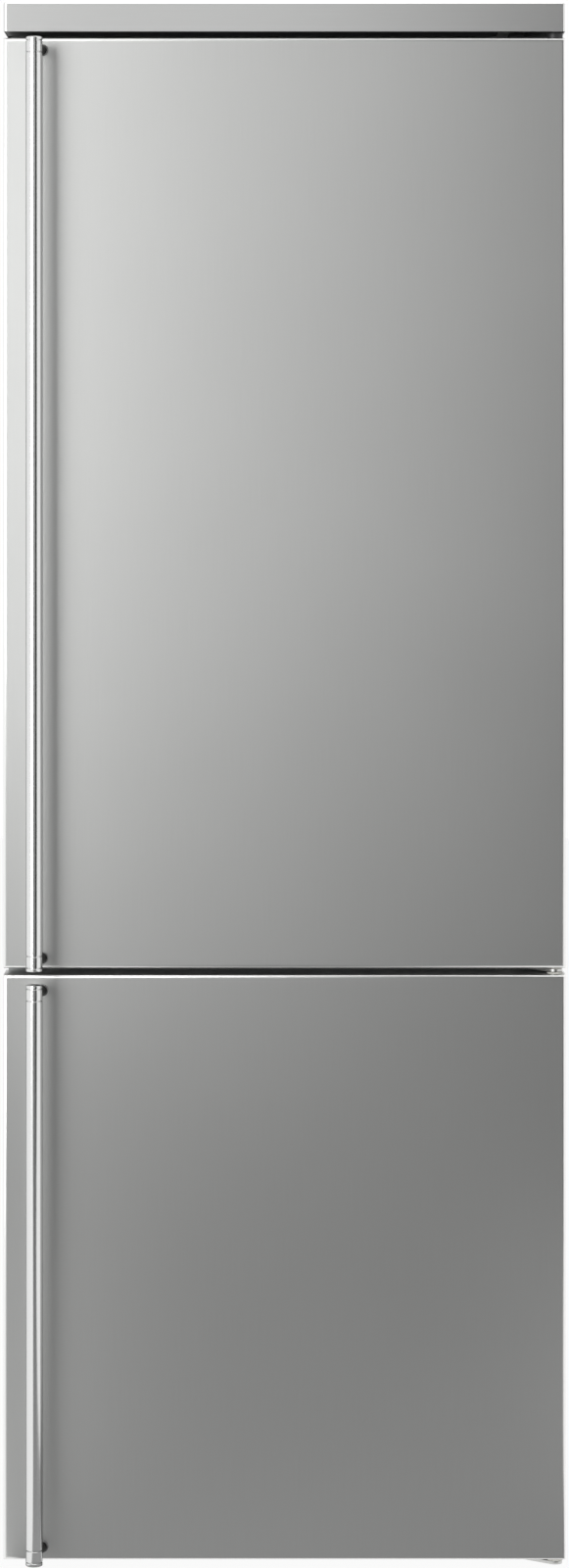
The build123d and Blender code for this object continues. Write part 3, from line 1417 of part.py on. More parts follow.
def evaporator_fan():
    """Rotor of the freezer fan, on the cover's motor."""
    return fan_rotor((0, fan_plane_y, fan_height_z), (0, 1, 0))


def drip_tray():
    """Evaporating tray that sits on the compressor's crown."""
    top = deck_top_z + mount_height + compressor_height
    tray = Pos(compressor_x, mid_bay_y, top) * tub(drip_width, drip_depth, drip_height, drawer_wall, 6,
                                                   drawer_corner)
    return tray


def bay_cover():
    """Rear grille of the compressor bay: flat sheet with two ladders of slots."""
    half = half_cabinet - sheet
    cover = block((-half, half), (cabinet_back_y - sheet, cabinet_back_y), (cabinet_base_z, bay_top_z))
    pitch = (bay_top_z - cabinet_base_z - grille_foot - grille_head) / grille_slots
    left = (inlet_x + inlet_width / 2 + inlet_land, -grille_middle / 2)
    right = (grille_middle / 2, half - grille_side)
    for i in range(grille_slots):
        z = cabinet_base_z + grille_foot + pitch * i
        for x in (left, right):
            cover -= block(x, (cabinet_back_y - 2 * sheet, cabinet_back_y + sheet), (z, z + grille_slot))
    return cover - block((inlet_x - inlet_width / 2, inlet_x + inlet_width / 2),
                         (cabinet_back_y - 2 * sheet, cabinet_back_y + sheet),
                         (inlet_z - inlet_height / 2, inlet_z + inlet_height / 2))


def mains_inlet():
    """Snap-in appliance inlet with three contact blades in its well."""
    back = cabinet_back_y
    half, half_height = inlet_width / 2, inlet_height / 2
    body = block((inlet_x - half, inlet_x + half), (back - inlet_depth, back),
                 (inlet_z - half_height, inlet_z + half_height))
    wide, tall = half + bezel_margin, half_height + bezel_margin - 1
    bezel = block((inlet_x - wide, inlet_x + wide), (back, back + bezel_sheet),
                  (inlet_z - tall, inlet_z + tall))
    half, half_height = half - inlet_wall, half_height - inlet_wall
    well = block((inlet_x - half, inlet_x + half), (back - inlet_depth + inlet_wall, back + inlet_wall),
                 (inlet_z - half_height, inlet_z + half_height))
    inlet = body + bezel - well
    sheet_half, width_half = inlet_blade_sheet / 2, inlet_blade_width / 2
    for place, rise in ((-1, -width_half), (0, inlet_blade_rise), (1, -width_half)):
        x, z = inlet_x + place * half * 0.6, inlet_z + rise
        inlet += block((x - sheet_half, x + sheet_half), (back - inlet_depth + 1, back - inlet_blade_sink),
                       (z - width_half, z + width_half))
    return inlet


# ---- feet, rollers and buffers -------------------------------------------------------
def front_foot(side):
    """Adjusting foot: hexagonal pad on a stem that screws up into the base pan."""
    x = side * foot_x
    pad = hexagon(x, foot_y, 0, foot_pad, foot_pad_height)
    return pad + rod((x, foot_y, foot_pad_height), (0, 0, 1), foot_stem,
                     foot_stem_length - foot_pad_height, small_sides)


def rear_roller(side):
    """Roller on its axle in the deck's fork."""
    x = side * roller_x
    centre = roller_diameter / 2
    wheel = rod((x - roller_width / 2, roller_y, centre), (1, 0, 0), roller_diameter, roller_width,
                roller_sides)
    bore = (axle_diameter + 2 * axle_clearance) / cos(pi / small_sides)
    return wheel - rod((x - roller_width, roller_y, centre), (1, 0, 0), bore, 2 * roller_width,
                       small_sides)


def wall_spacers():
    """Four moulded buffers that hold the back off the wall."""
    buffers = []
    for x in (-spacer_x, spacer_x):
        for z in (spacer_low_z, cabinet_top_z - spacer_top_drop):
            buffer = block((x - spacer_width / 2, x + spacer_width / 2), (cabinet_back_y, wall_y),
                           (z - spacer_height / 2, z + spacer_height / 2))
            buffers.append(chamfer(buffer.faces().sort_by(Axis.Y)[-1].edges(), spacer_depth / 4))
    return Compound(children=buffers)


# ---- write every node ----------------------------------------------------------------
pan_part, rail_part = base_pan(), mullion_rail()
save(wrapper(), "outer_wrapper")
save(back_panel(), "back_panel")
save(pan_part, "base_pan")
save(rail_part, "mullion_rail")
save(cabinet_foam(pan_part, rail_part), "cabinet_foam")
save(fridge_liner(), "fridge_liner")
save(freezer_liner(), "freezer_liner")
save(top_cap(), "top_cap")
save(cap_tray(), "cap_tray")
save(top_hinge(), "top_hinge")
save(middle_hinge(), "middle_hinge")
save(bottom_hinge(), "bottom_hinge")
save(screws(), "hinge_screws")

for one_door in (upper_door, lower_door):
    prefix = one_door.name + "_door_"
    save(door_skin(one_door), prefix + "skin")
    save(door_foam(one_door), prefix + "foam")
    save(door_liner(one_door, one_door is upper_door), prefix + "liner")
    save(gasket(one_door), prefix + "gasket")
    save(door_bushes(one_door), prefix + "bushes")
    save(handle_tube(one_door), one_door.name + "_handle_tube")
    save(handle_ends(one_door), one_door.name + "_handle_ends")

save(door_bin(top_bin_z, top_bin_height), "top_door_bin")
save(door_bin(middle_bin_z, middle_bin_height), "middle_door_bin")
save(door_bin(bottle_bin_z, bottle_bin_height), "bottle_bin")
save(dairy_box(), "dairy_box")
save(dairy_lid(), "dairy_lid")

save(glass_shelves(), "glass_shelves")
save(shelf_trims(), "shelf_trims")
save(humidity_slider(), "humidity_slider")
save(bottle_rack(), "bottle_rack")
save(vegetable_drawer(), "vegetable_drawer")
save(fresh_drawer(), "fresh_drawer")
save(air_duct_panel(), "air_duct_panel")
save(lamp_lens(), "lamp_lens")
save(control_panel(), "control_panel")

save(freezer_drawer(freezer_bottom_z, freezer_bottom_height, freezer_bottom_depth), "freezer_drawer_bottom")
save(freezer_drawer(freezer_middle_z, freezer_drawer_height, freezer_drawer_depth), "freezer_drawer_middle")
save(freezer_drawer(freezer_top_z, freezer_drawer_height, freezer_drawer_depth), "freezer_drawer_top")
save(evaporator_cover(), "evaporator_cover")
save(evaporator(), "evaporator")
save(evaporator_fan(), "evaporator_fan")

save(compressor_deck(), "compressor_deck")
save(compressor(), "compressor")
save(condenser_coil(), "condenser_coil")
save(condenser_fan_frame(), "condenser_fan_frame")
save(condenser_fan(), "condenser_fan")
save(drip_tray(), "drip_tray")
save(bay_cover(), "bay_cover")
save(mains_inlet(), "mains_inlet")

for side_name, side_sign in (("left", -1), ("right", 1)):
    save(front_foot(side_sign), "front_foot_" + side_name)
    save(rear_roller(side_sign), "rear_roller_" + side_name)
save(wall_spacers(), "wall_spacers")
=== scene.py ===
# Bottom freezer refrigerator with brushed steel doors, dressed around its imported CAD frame.
# Metres. +Z up, the doors face -Y, +X is the viewer's right.
import json

import bmesh
import bpy
from math import cos, pi, radians, sin
from mathutils import Matrix, Vector

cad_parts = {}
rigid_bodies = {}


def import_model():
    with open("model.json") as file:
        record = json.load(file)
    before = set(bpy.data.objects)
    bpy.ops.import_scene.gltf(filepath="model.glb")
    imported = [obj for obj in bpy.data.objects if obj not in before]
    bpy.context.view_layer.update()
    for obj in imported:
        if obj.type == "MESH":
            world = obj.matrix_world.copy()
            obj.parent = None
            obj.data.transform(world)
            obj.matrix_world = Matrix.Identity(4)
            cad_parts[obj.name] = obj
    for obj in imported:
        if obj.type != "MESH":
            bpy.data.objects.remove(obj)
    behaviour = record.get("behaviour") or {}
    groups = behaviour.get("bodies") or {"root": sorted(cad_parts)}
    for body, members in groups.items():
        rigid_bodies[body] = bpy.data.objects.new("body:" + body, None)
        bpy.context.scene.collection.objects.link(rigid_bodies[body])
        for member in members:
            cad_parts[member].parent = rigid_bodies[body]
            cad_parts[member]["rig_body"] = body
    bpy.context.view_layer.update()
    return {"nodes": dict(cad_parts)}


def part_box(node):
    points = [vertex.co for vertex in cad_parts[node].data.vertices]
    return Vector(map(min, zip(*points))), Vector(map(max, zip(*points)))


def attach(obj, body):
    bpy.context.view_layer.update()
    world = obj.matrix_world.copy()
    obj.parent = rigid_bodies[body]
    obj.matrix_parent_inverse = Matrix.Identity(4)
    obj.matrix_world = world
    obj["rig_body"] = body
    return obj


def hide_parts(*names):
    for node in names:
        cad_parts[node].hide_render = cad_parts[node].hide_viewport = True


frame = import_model()
nodes = frame["nodes"]
MM = 0.001


# ---- studio ----
# A pale floor and a white surround, as in a product photographer's studio. The camera stands
# square in front of the doors, a little above their middle, on a long lens.
door_face_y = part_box("upper_door_skin")[0].y
camera_distance, camera_height = 5.8, 1.353
picture_rows, row_size = 1600, 1.2195 * MM       # the picture's long side, as seen at the doors
picture_middle = 0.98744                         # height of the picture's centre at the doors


def linked(name, data):
    """A new object at the origin that holds some data."""
    thing = bpy.data.objects.new(name, data)
    bpy.context.collection.objects.link(thing)
    return thing


camera_data = bpy.data.cameras.new("camera")
camera_data.sensor_width = 36
camera_data.lens = camera_data.sensor_width * camera_distance / (picture_rows * row_size)
camera_data.shift_y = (picture_middle - camera_height) / (picture_rows * row_size)
camera_data.clip_end = 100
camera = linked("camera", camera_data)
camera.location = (0, door_face_y - camera_distance, camera_height)
camera.rotation_euler = (radians(90), 0, 0)
bpy.context.scene.camera = camera
bpy.context.scene.view_settings.view_transform = "Standard"


class Graph:
    """An emptied node tree with short ways to fill it."""

    def __init__(self, tree):
        self.tree = tree
        tree.nodes.clear()

    def add(self, kind, *feeds, **settings):
        """A node with its settings, and its inputs in order or by name, an underscore for a space.
        An input takes a value, a node for its first output, or a pair of a node and an output."""
        node = self.tree.nodes.new(kind)
        inputs = dict(enumerate(feeds))
        for name, value in settings.items():
            if hasattr(node, name):
                setattr(node, name, value)
            else:
                inputs[name.replace("_", " ")] = value
        for place, feed in inputs.items():
            source, output = feed if isinstance(feed, tuple) and len(feed) == 2 else (feed, 0)
            if isinstance(source, bpy.types.Node):
                self.tree.links.new(source.outputs[output], node.inputs[place])
            elif feed is not None:
                node.inputs[place].default_value = feed
        return node

    def mapped(self, feed, low, high, **span):
        """A value carried onto a range."""
        return self.add("ShaderNodeMapRange", feed, To_Min=low, To_Max=high, **span)

    def greater(self, feed, other):
        """The greater of two values."""
        return self.add("ShaderNodeMath", feed, other, operation="MAXIMUM")


def new_paint(name):
    """A new material and its graph."""
    paint = bpy.data.materials.new(name)
    paint.use_nodes = True
    return paint, Graph(paint.node_tree)


# The surround is pure white to the camera, to gloss and through glass, and softer for lighting.
world = bpy.data.worlds.new("studio_surround")
bpy.context.scene.world = world
world.use_nodes = True
graph = Graph(world.node_tree)
path = graph.add("ShaderNodeLightPath")
seen = graph.greater((path, "Is Camera Ray"), (path, "Is Glossy Ray"))
seen = graph.greater(seen, (path, "Is Transmission Ray"))
light = graph.add("ShaderNodeBackground", (1, 1, 1, 1), graph.mapped(seen, 0.45, 1.0))
graph.add("ShaderNodeOutputWorld", light)


def plane_of(name, corners, paint):
    """A flat four-cornered studio surface."""
    mesh = bpy.data.meshes.new(name)
    mesh.from_pydata(corners, [], [(0, 1, 2, 3)])
    mesh.materials.append(paint)
    surface = linked(name, mesh)
    return surface


# White covers most of the floor's shade for the camera, and all of it for gloss.
floor_reach, floor_cover = 12.0, 0.93
floor_paint, graph = new_paint("studio_floor_paint")
matt = graph.add("ShaderNodeBsdfDiffuse", (0.86, 0.86, 0.86, 1))
white = graph.add("ShaderNodeEmission", Strength=1.0)
path = graph.add("ShaderNodeLightPath")
seen = graph.add("ShaderNodeMath", (path, "Is Camera Ray"), floor_cover, (path, "Is Glossy Ray"),
                 operation="MULTIPLY_ADD")
graph.add("ShaderNodeOutputMaterial", graph.add("ShaderNodeMixShader", seen, matt, white))
corners = [(x * floor_reach, y * floor_reach, 0) for x, y in ((-1, -1), (1, -1), (1, 1), (-1, 1))]
plane_of("studio_floor", corners, floor_paint)


def soft_lamp(name, place, target, width, height, power):
    """A rectangular softbox that faces a point."""
    data = bpy.data.lights.new(name, "AREA")
    data.shape = "RECTANGLE"
    data.size, data.size_y = width, height
    data.energy = power
    lamp = linked(name, data)
    lamp.location = place
    lamp.rotation_euler = (Vector(target) - Vector(place)).to_track_quat("-Z", "Y").to_euler()


soft_lamp("key_left", (-2.1, -3.7, 1.95), (-0.2, -0.3, 1.7), 1.8, 2.9, 80)
soft_lamp("top", (0, -0.6, 4.2), (0, -0.2, 1.9), 2.4, 1.6, 18)
soft_lamp("rear", (1.6, 3.2, 2.8), (0, 0, 1.0), 2.0, 2.0, 45)


def graduated_card(name, corners, bright, dark, centre, reach):
    """A card that only gloss shows, bright at a centre and darker outwards, as under one lamp."""
    paint, graph = new_paint(name + "_paint")
    place = (graph.add("ShaderNodeTexCoord"), "Object")
    shift = graph.add("ShaderNodeMapping", place, vector_type="TEXTURE", Location=centre, Scale=reach)
    away = graph.add("ShaderNodeVectorMath", shift, operation="LENGTH")
    glow = graph.add("ShaderNodeEmission", Strength=graph.mapped((away, "Value"), bright, dark))
    graph.add("ShaderNodeOutputMaterial", glow)
    card = plane_of(name, corners, paint)
    card.visible_camera = card.visible_diffuse = False
    card.visible_shadow = card.visible_transmission = False


card_y = door_face_y - 3.0
left, right, top = -1.0, 2.2, 4.4
floor_card_z = 12 * MM
graduated_card("upright_card", [(left, card_y, 10 * MM), (right, card_y, 10 * MM), (right, card_y, top),
                                (left, card_y, top)],
               0.8, 0.03, (-0.05, card_y, 2.4), (0.8, 1.0, 3.6))
graduated_card("floor_card", [(-0.8, card_y, floor_card_z), (1.1, card_y, floor_card_z),
                              (0.43, door_face_y, floor_card_z), (-0.34, door_face_y, floor_card_z)],
               0.36, 0.18, (-0.3, door_face_y, 0), (2.5, 2.8, 1.0))


# ---- door skins ----
# Each door's face is one sheet of brushed stainless steel, 1 mm thick, rolled over on a small
# radius at its four edges and turned in behind. The grain runs up and down.
def from_bmesh(name, shape, turn_out=True):
    """An object from a bmesh, its doubles merged and its faces turned outwards."""
    bmesh.ops.remove_doubles(shape, verts=shape.verts, dist=1e-6)
    if turn_out:
        bmesh.ops.recalc_face_normals(shape, faces=shape.faces)
    mesh = bpy.data.meshes.new(name)
    shape.to_mesh(mesh)
    shape.free()
    return linked(name, mesh)


def smooth(piece, angle):
    """Smooth shading with every edge sharper than the angle kept crisp."""
    piece.data.shade_smooth()
    piece.data.set_sharp_from_angle(angle=radians(angle))
    return piece


def fitted(piece, paint, slot, *stands_for):
    """Finishes a piece: its material, its body, and the nodes that it replaces, which are hidden. The slot is
    not used.
    """
    piece.data.materials.clear()
    piece.data.materials.append(paint)
    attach(piece, nodes[stands_for[0]]["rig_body"])
    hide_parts(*stands_for)
    return piece


def made(name, shape, angle, paint, slot, *stands_for):
    """A finished piece from a bmesh, smooth but for the edges sharper than an angle."""
    return fitted(smooth(from_bmesh(name, shape), angle), paint, slot, *stands_for)


def noise(graph, place, scale, detail, roughness=0.6):
    """A noise pattern on some coordinates."""
    return graph.add("ShaderNodeTexNoise", place, Scale=scale, Detail=detail, Roughness=roughness)


def tinted_by(graph, pattern, colour, change):
    """A colour made a little darker and lighter by a pattern."""
    tone = graph.mapped(pattern, 1 - change, 1 + change)
    return graph.add("ShaderNodeVectorMath", colour, operation="SCALE", Scale=tone)


def laid_over(graph, under, mask, colour):
    """A colour laid over another where a mask says so."""
    return graph.add("ShaderNodeMix", mask, *[None] * 5, under, (*colour, 1), data_type="RGBA"), 2


def surfaced(graph, broad, roughness, uneven, fine, strength, depth, **settings):
    """Ends a material with its shader: one pattern makes its gloss uneven, another its surface."""
    gloss = graph.mapped(broad, roughness * (1 - uneven), roughness * (1 + uneven))
    bump = graph.add("ShaderNodeBump", Strength=strength, Distance=depth, Height=fine)
    shader = graph.add("ShaderNodeBsdfPrincipled", Roughness=gloss, Normal=bump, **settings)
    graph.add("ShaderNodeOutputMaterial", shader)


def steel_finish(name, colour, roughness, grain, along, edge, streak=0.04, spread=0.0, turn=0.0, fold_highlight=None):
    """Brushed steel: long fine scratches along one axis vary its tone and surface. Where a
    piece's own attribute says so, its folds are painted brighter, a painted highlight for the light the rolled
    edges catch."""
    scratch_ratio = 220              # a scratch's length over its width
    paint, graph = new_paint(name)
    place = (graph.add("ShaderNodeTexCoord"), "Object")
    scale = [1 / grain] * 3
    scale["xyz".index(along)] = 1 / (grain * scratch_ratio)
    scratches = noise(graph, graph.add("ShaderNodeMapping", place, Scale=scale), 1.0, 3.0)
    cloud = noise(graph, place, 2.6, 2.0, 0.5)
    tone, lay = tinted_by(graph, scratches, colour, streak), {}
    if fold_highlight:
        tone = laid_over(graph, tone, (graph.add("ShaderNodeAttribute", attribute_name="fold_highlight"), "Fac"), fold_highlight)
    if spread:
        tangent = graph.add("ShaderNodeTangent", direction_type="RADIAL", axis="Z")
        lay = {"Anisotropic": spread, "Anisotropic Rotation": turn, "Tangent": tangent}
    surfaced(graph, cloud, roughness, 0.06, scratches, 0.06, 0.02 * MM, Base_Color=tone, Metallic=1.0,
             Specular_Tint=(edge, edge, edge, 1), **lay)
    return paint


# The door steel's rolled edges are painted near white: a painted highlight along the folds.
door_steel = steel_finish("brushed_door_steel", (0.64, 0.645, 0.635), 0.3, 0.4 * MM, "z", 0.6, spread=0.45,
                          fold_highlight=(0.95, 0.95, 0.94))
skin_gauge, skin_radius, skin_return = 1 * MM, 4 * MM, 9 * MM
flat_margin = 0.4 * MM           # flat ring beside the rolled edge, which keeps the face flat
return_ease = 0.8 * MM           # the turned-in flange's own bend
rolled_from = 0.2 * MM           # behind the face by this much, the sheet is rolled


def rolled_skin(name, node, steps=6):
    """A sheet over a door's front and edges: rings of points from its middle to its return."""
    low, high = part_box(node)
    depth = high.y - low.y
    rings = [(skin_radius + flat_margin, 0.0)]
    for i in range(steps + 1):
        turn = radians(90 * i / steps)
        rings.append((skin_radius * (1 - sin(turn)), skin_radius * (1 - cos(turn))))
    rings += [(0.0, depth - return_ease), (return_ease * 0.3, depth - return_ease * 0.3), (return_ease, depth),
              (skin_return, depth), (skin_return, depth - skin_gauge),
              (skin_gauge + return_ease, depth - skin_gauge), (skin_gauge, depth - skin_gauge - return_ease)]
    shape = bmesh.new()
    # This layer marks the rolled edges, where the steel's painted highlight goes.
    fold_highlight = shape.verts.layers.float.new("fold_highlight")
    loops = []
    for inset, back in rings:
        y = low.y + back
        x0, x1, z0, z1 = low.x + inset, high.x - inset, low.z + inset, high.z - inset
        loops.append([shape.verts.new(p) for p in ((x0, y, z0), (x1, y, z0), (x1, y, z1), (x0, y, z1))])
        for vert in loops[-1]:
            vert[fold_highlight] = 1.0 if rolled_from < back < depth / 2 else 0.0
    shape.faces.new(loops[0])
    for near, far in zip(loops, loops[1:]):
        for k in range(4):
            shape.faces.new((near[k], near[(k + 1) % 4], far[(k + 1) % 4], far[k]))
    return from_bmesh(name, shape)


for door in ("upper", "lower"):
    skin = smooth(rolled_skin(door + "_door_steel_skin", door + "_door_skin"), 50)
    fitted(skin, door_steel, "door_steel", door + "_door_skin")


# ---- top cap ----
# A folded stainless cover over the top hinge, flush with the doors. Its upright corners are
# rounded, its face runs on into a small lip below, and its grain runs along its length.
# The cap is the doors' stainless steel with its colour set much lighter: a painted brightening for the light
# its face catches.
cap_steel_painted_lighter = steel_finish("brushed_cap_steel_painted_lighter", (0.82, 0.825, 0.815), 0.3, 0.4 * MM, "x", 0.6, spread=0.45,
                         turn=0.25)


def worked(piece):
    """The piece's modifiers turned into plain mesh."""
    graph = bpy.context.evaluated_depsgraph_get()
    mesh = bpy.data.meshes.new_from_object(piece.evaluated_get(graph))
    piece.modifiers.clear()
    piece.data = mesh
    return piece


def rounded(piece, radius, steps, angle):
    """Rounds a piece's edges that are sharper than an angle."""
    rounding = piece.modifiers.new("rounding", "BEVEL")
    rounding.width, rounding.segments = radius, steps
    rounding.limit_method, rounding.angle_limit = "ANGLE", radians(angle)
    return piece


def dressed(name, node, paint, slot, radius=0.6 * MM, steps=2, angle=32):
    """A node's own form, its edges rounded as its making leaves them, in one paint."""
    shape = bmesh.new()
    shape.from_mesh(nodes[node].data)
    bmesh.ops.remove_doubles(shape, verts=shape.verts, dist=1e-5)
    bmesh.ops.dissolve_limit(shape, angle_limit=radians(1), verts=shape.verts, edges=shape.edges)
    piece = rounded(from_bmesh(name, shape, turn_out=False), radius, steps, angle)
    piece.data.shade_smooth()
    level = piece.modifiers.new("level", "WEIGHTED_NORMAL")    # large faces stay flat between soft edges
    level.keep_sharp = False
    level.weight = 90
    return fitted(worked(piece), paint, slot, node)


dressed("top_cap_cover", "top_cap", cap_steel_painted_lighter, "door_steel", 0.8 * MM, 3)


# ---- handles ----
# Each handle is a polished stainless tube between two collars with screwed end caps. A post leans
# from each collar to a small round foot against the door. The posts are the same steel painted
# dark, a painted shade for the dark surroundings they reflect.
handle_steel = steel_finish("polished_handle_steel", (0.78, 0.785, 0.78), 0.17, 0.3 * MM, "z", 0.12, 0.02)
# The posts' steel has its colour painted dark: painted shade standing in for the dark reflections they show.
post_steel_painted_dark = steel_finish("handle_post_painted_shade", (0.2, 0.2, 0.198), 0.24, 0.3 * MM, "z", 0.4, 0.02)


def add_lathe(shape, profile, start=(0, 0, 0), direction=(0, 0, 1), sides=64, hollow=False):
    """Adds a turned form: (radius, distance) points carried round a line from a point. A hollow
    one closes its profile on itself, any other is closed at both ends."""
    place = Matrix.Translation(start) @ Vector(direction).to_track_quat("Z", "Y").to_matrix().to_4x4()
    rings = []
    for radius, height in profile:
        count = sides if radius else 1
        rings.append([shape.verts.new(place @ Vector((radius * cos(2 * pi * i / count),
                                                      radius * sin(2 * pi * i / count), height)))
                      for i in range(count)])
    for near, far in zip(rings, rings[1:] + rings[:1] if hollow else rings[1:]):
        for i in range(sides):
            k = (i + 1) % sides
            if len(near) == 1:
                shape.faces.new((near[0], far[k], far[i]))
            elif len(far) == 1:
                shape.faces.new((near[i], near[k], far[0]))
            else:
                shape.faces.new((near[i], near[k], far[k], far[i]))
    for ring, order in ((rings[0], -1), (rings[-1], 1)):
        if len(ring) > 1 and not hollow:
            shape.faces.new(ring[::order])


bar_radius, bar_sides, crown, ease = 10.4 * MM, 96, 1.2 * MM, 0.3 * MM
cap_length, collar_length = 6 * MM, 14.6 * MM
groove_width, neck = 1.2 * MM, bar_radius - 1.4 * MM
post_radius, foot_radius, foot_height, foot_ease = 5.5 * MM, 7.3 * MM, 2.5 * MM, 0.6 * MM
foot_shift = 7.6 * MM            # the feet sit this much nearer the door's middle
post_sink = 1 * MM               # how far a post runs into its foot
cap_end = cap_length - groove_width
collar_end = cap_end + collar_length
turned_end = [(0, 0), (bar_radius * 0.5, crown * 0.12), (bar_radius * 0.8, crown * 0.45),
              (bar_radius * 0.95, crown), (bar_radius, crown * 1.8), (bar_radius, cap_end - ease),
              (bar_radius - ease, cap_end), (neck, cap_end), (neck, cap_length),
              (bar_radius - ease, cap_length), (bar_radius, cap_length + ease), (bar_radius, collar_end - ease),
              (bar_radius - ease, collar_end), (neck, collar_end), (neck, collar_end + groove_width + ease)]
for door in ("upper", "lower"):
    tube_low, tube_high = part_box(door + "_handle_tube")
    ends_low, ends_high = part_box(door + "_handle_ends")
    bar_x, bar_y = (tube_low.x + tube_high.x) / 2, (tube_low.y + tube_high.y) / 2
    length = tube_high.z - tube_low.z
    shape = bmesh.new()
    add_lathe(shape, [(bar_radius - ease, 0), (bar_radius, ease), (bar_radius, length - ease),
                      (bar_radius - ease, length)], (bar_x, bar_y, tube_low.z), sides=bar_sides)
    made(door + "_handle_bar", shape, 30, handle_steel, "handle_steel", door + "_handle_tube")
    ends, posts = bmesh.new(), bmesh.new()
    for z, up in ((ends_low.z, 1), (ends_high.z, -1)):
        add_lathe(ends, turned_end, (bar_x, bar_y, z), (0, 0, up), bar_sides)
        post_z = z + up * (cap_length + collar_end) / 2
        start = Vector((bar_x, bar_y, post_z))
        lean = Vector((bar_x + foot_shift, door_face_y - foot_height, post_z)) - start
        add_lathe(posts, [(post_radius, 0), (post_radius, lean.length + post_sink)], start, lean, 48)
        add_lathe(posts, [(foot_radius, 0), (foot_radius, foot_height - foot_ease),
                          (foot_radius - foot_ease, foot_height), (0, foot_height)],
                  (bar_x + foot_shift, door_face_y, post_z), (0, -1, 0), 48)
    made(door + "_handle_collars", ends, 30, handle_steel, "handle_steel", door + "_handle_ends")
    made(door + "_handle_posts", posts, 30, post_steel_painted_dark, "handle_steel", door + "_handle_ends")


# ---- cap tray ----
# A black moulded tray under the steel cap. It carries the cap and hides the top hinge's plate.
def finish(name, colour, roughness, grain, depth, metal=0.0, shade=0.03, worn=None, cells=0.0):
    """Paint, plating or moulded plastic: its grain in tone and height, and its worn edges."""
    paint, graph = new_paint(name)
    place = (graph.add("ShaderNodeTexCoord"), "Object")
    fine = noise(graph, place, 1 / grain, 3.0)
    broad = pattern = noise(graph, place, 5.0, 4.0)
    if cells:
        spangle = graph.add("ShaderNodeTexVoronoi", place, Scale=1 / cells)
        level = graph.add("ShaderNodeVectorMath", (spangle, "Color"), (0.33,) * 3, operation="DOT_PRODUCT")
        pattern = (level, "Value")
    tone = tinted_by(graph, pattern, colour, shade)
    if worn:
        edges = (graph.add("ShaderNodeNewGeometry"), "Pointiness")
        rim = graph.mapped(edges, 0, 1, From_Min=0.54, From_Max=0.66)
        tone = laid_over(graph, tone, graph.add("ShaderNodeMath", rim, fine, operation="MULTIPLY"), worn)
    surfaced(graph, broad, roughness, 0.15, fine, 0.25, depth, Base_Color=tone, Metallic=metal)
    return paint


dark_plastic = finish("dark_moulded_plastic", (0.035, 0.035, 0.037), 0.46, 0.6 * MM, 0.06 * MM,
                      worn=(0.09, 0.09, 0.09))
dressed("top_cap_tray", "cap_tray", dark_plastic, "dark_plastic")


# ---- cabinet shell ----
# Sides, top and front frame folded from pre-painted steel sheet with a faint orange peel. The
# rail between the compartments has the same paint; the floor pan is bare galvanised sheet.
cabinet_paint = finish("painted_cabinet_steel", (0.36, 0.37, 0.37), 0.42, 2.2 * MM, 0.1 * MM, shade=0.02)
galvanised = finish("galvanised_steel", (0.56, 0.57, 0.57), 0.38, 0.8 * MM, 0.02 * MM, 0.9, 0.1, cells=11 * MM)
dressed("cabinet_wrapper", "outer_wrapper", cabinet_paint, "cabinet_paint", 0.5 * MM, 3)
dressed("compartment_rail", "mullion_rail", cabinet_paint, "cabinet_paint", 0.5 * MM)
dressed("floor_pan", "base_pan", galvanised, "plated_steel", 0.5 * MM)


# ---- back panel ----
# One painted steel sheet with pressed beads across it, seamed into the shell's folded edges.
# Its beads lean little, so every edge past 4 degrees is rounded.
dressed("cabinet_back_sheet", "back_panel", cabinet_paint, "cabinet_paint", 1.2 * MM, 3, 4)


# ---- insulation ----
# Rigid polyurethane foam, blown between shell and liner and inside each door. Only its cells
# and its amber colour would show, in a cut.
foam = finish("blown_foam", (0.83, 0.75, 0.52), 0.92, 1.2 * MM, 0.6 * MM, shade=0.1, cells=2.5 * MM)
for part in ("cabinet", "upper_door", "lower_door"):
    dressed(part + "_insulation", part + "_foam", foam, "foam", 1 * MM, 1)


# ---- hinges ----
# Three thick plated brackets with riveted pins: one on the cabinet's top, a tee on the rail
# between the doors, and a joggled one under the lower door.
zinc = finish("zinc_plating", (0.6, 0.6, 0.585), 0.3, 0.7 * MM, 0.04 * MM, 0.95, 0.06)
black_zinc = finish("black_zinc_plating", (0.03, 0.03, 0.031), 0.42, 0.7 * MM, 0.04 * MM, shade=0.08)
dressed("top_hinge_bracket", "top_hinge", black_zinc, "black_paint", angle=40)
for place in ("middle", "bottom"):
    dressed(place + "_hinge_bracket", place + "_hinge", zinc, "plated_steel", angle=40)


# ---- hinge screws ----
# Hexagon-head screws with a pressed washer face and a driver socket, three to a hinge, all of
# one pattern placed on points. Their shanks fill the brackets' holes.
def solids_of(node):
    """The lowest and highest corner of each separate solid in a node."""
    shape = bmesh.new()
    shape.from_mesh(nodes[node].data)
    bmesh.ops.remove_doubles(shape, verts=shape.verts, dist=1e-5)
    waiting, found = set(shape.verts), []
    while waiting:
        group, edge = set(), [waiting.pop()]
        while edge:
            vert = edge.pop()
            group.add(vert.co.copy().freeze())
            near = {other.other_vert(vert) for other in vert.link_edges} & waiting
            waiting -= near
            edge += near
        found.append((Vector([min(p[i] for p in group) for i in range(3)]),
                      Vector([max(p[i] for p in group) for i in range(3)])))
    shape.free()
    return sorted(found, key=lambda pair: (round(pair[0].z, 4), round(pair[0].y, 4), pair[0].x))


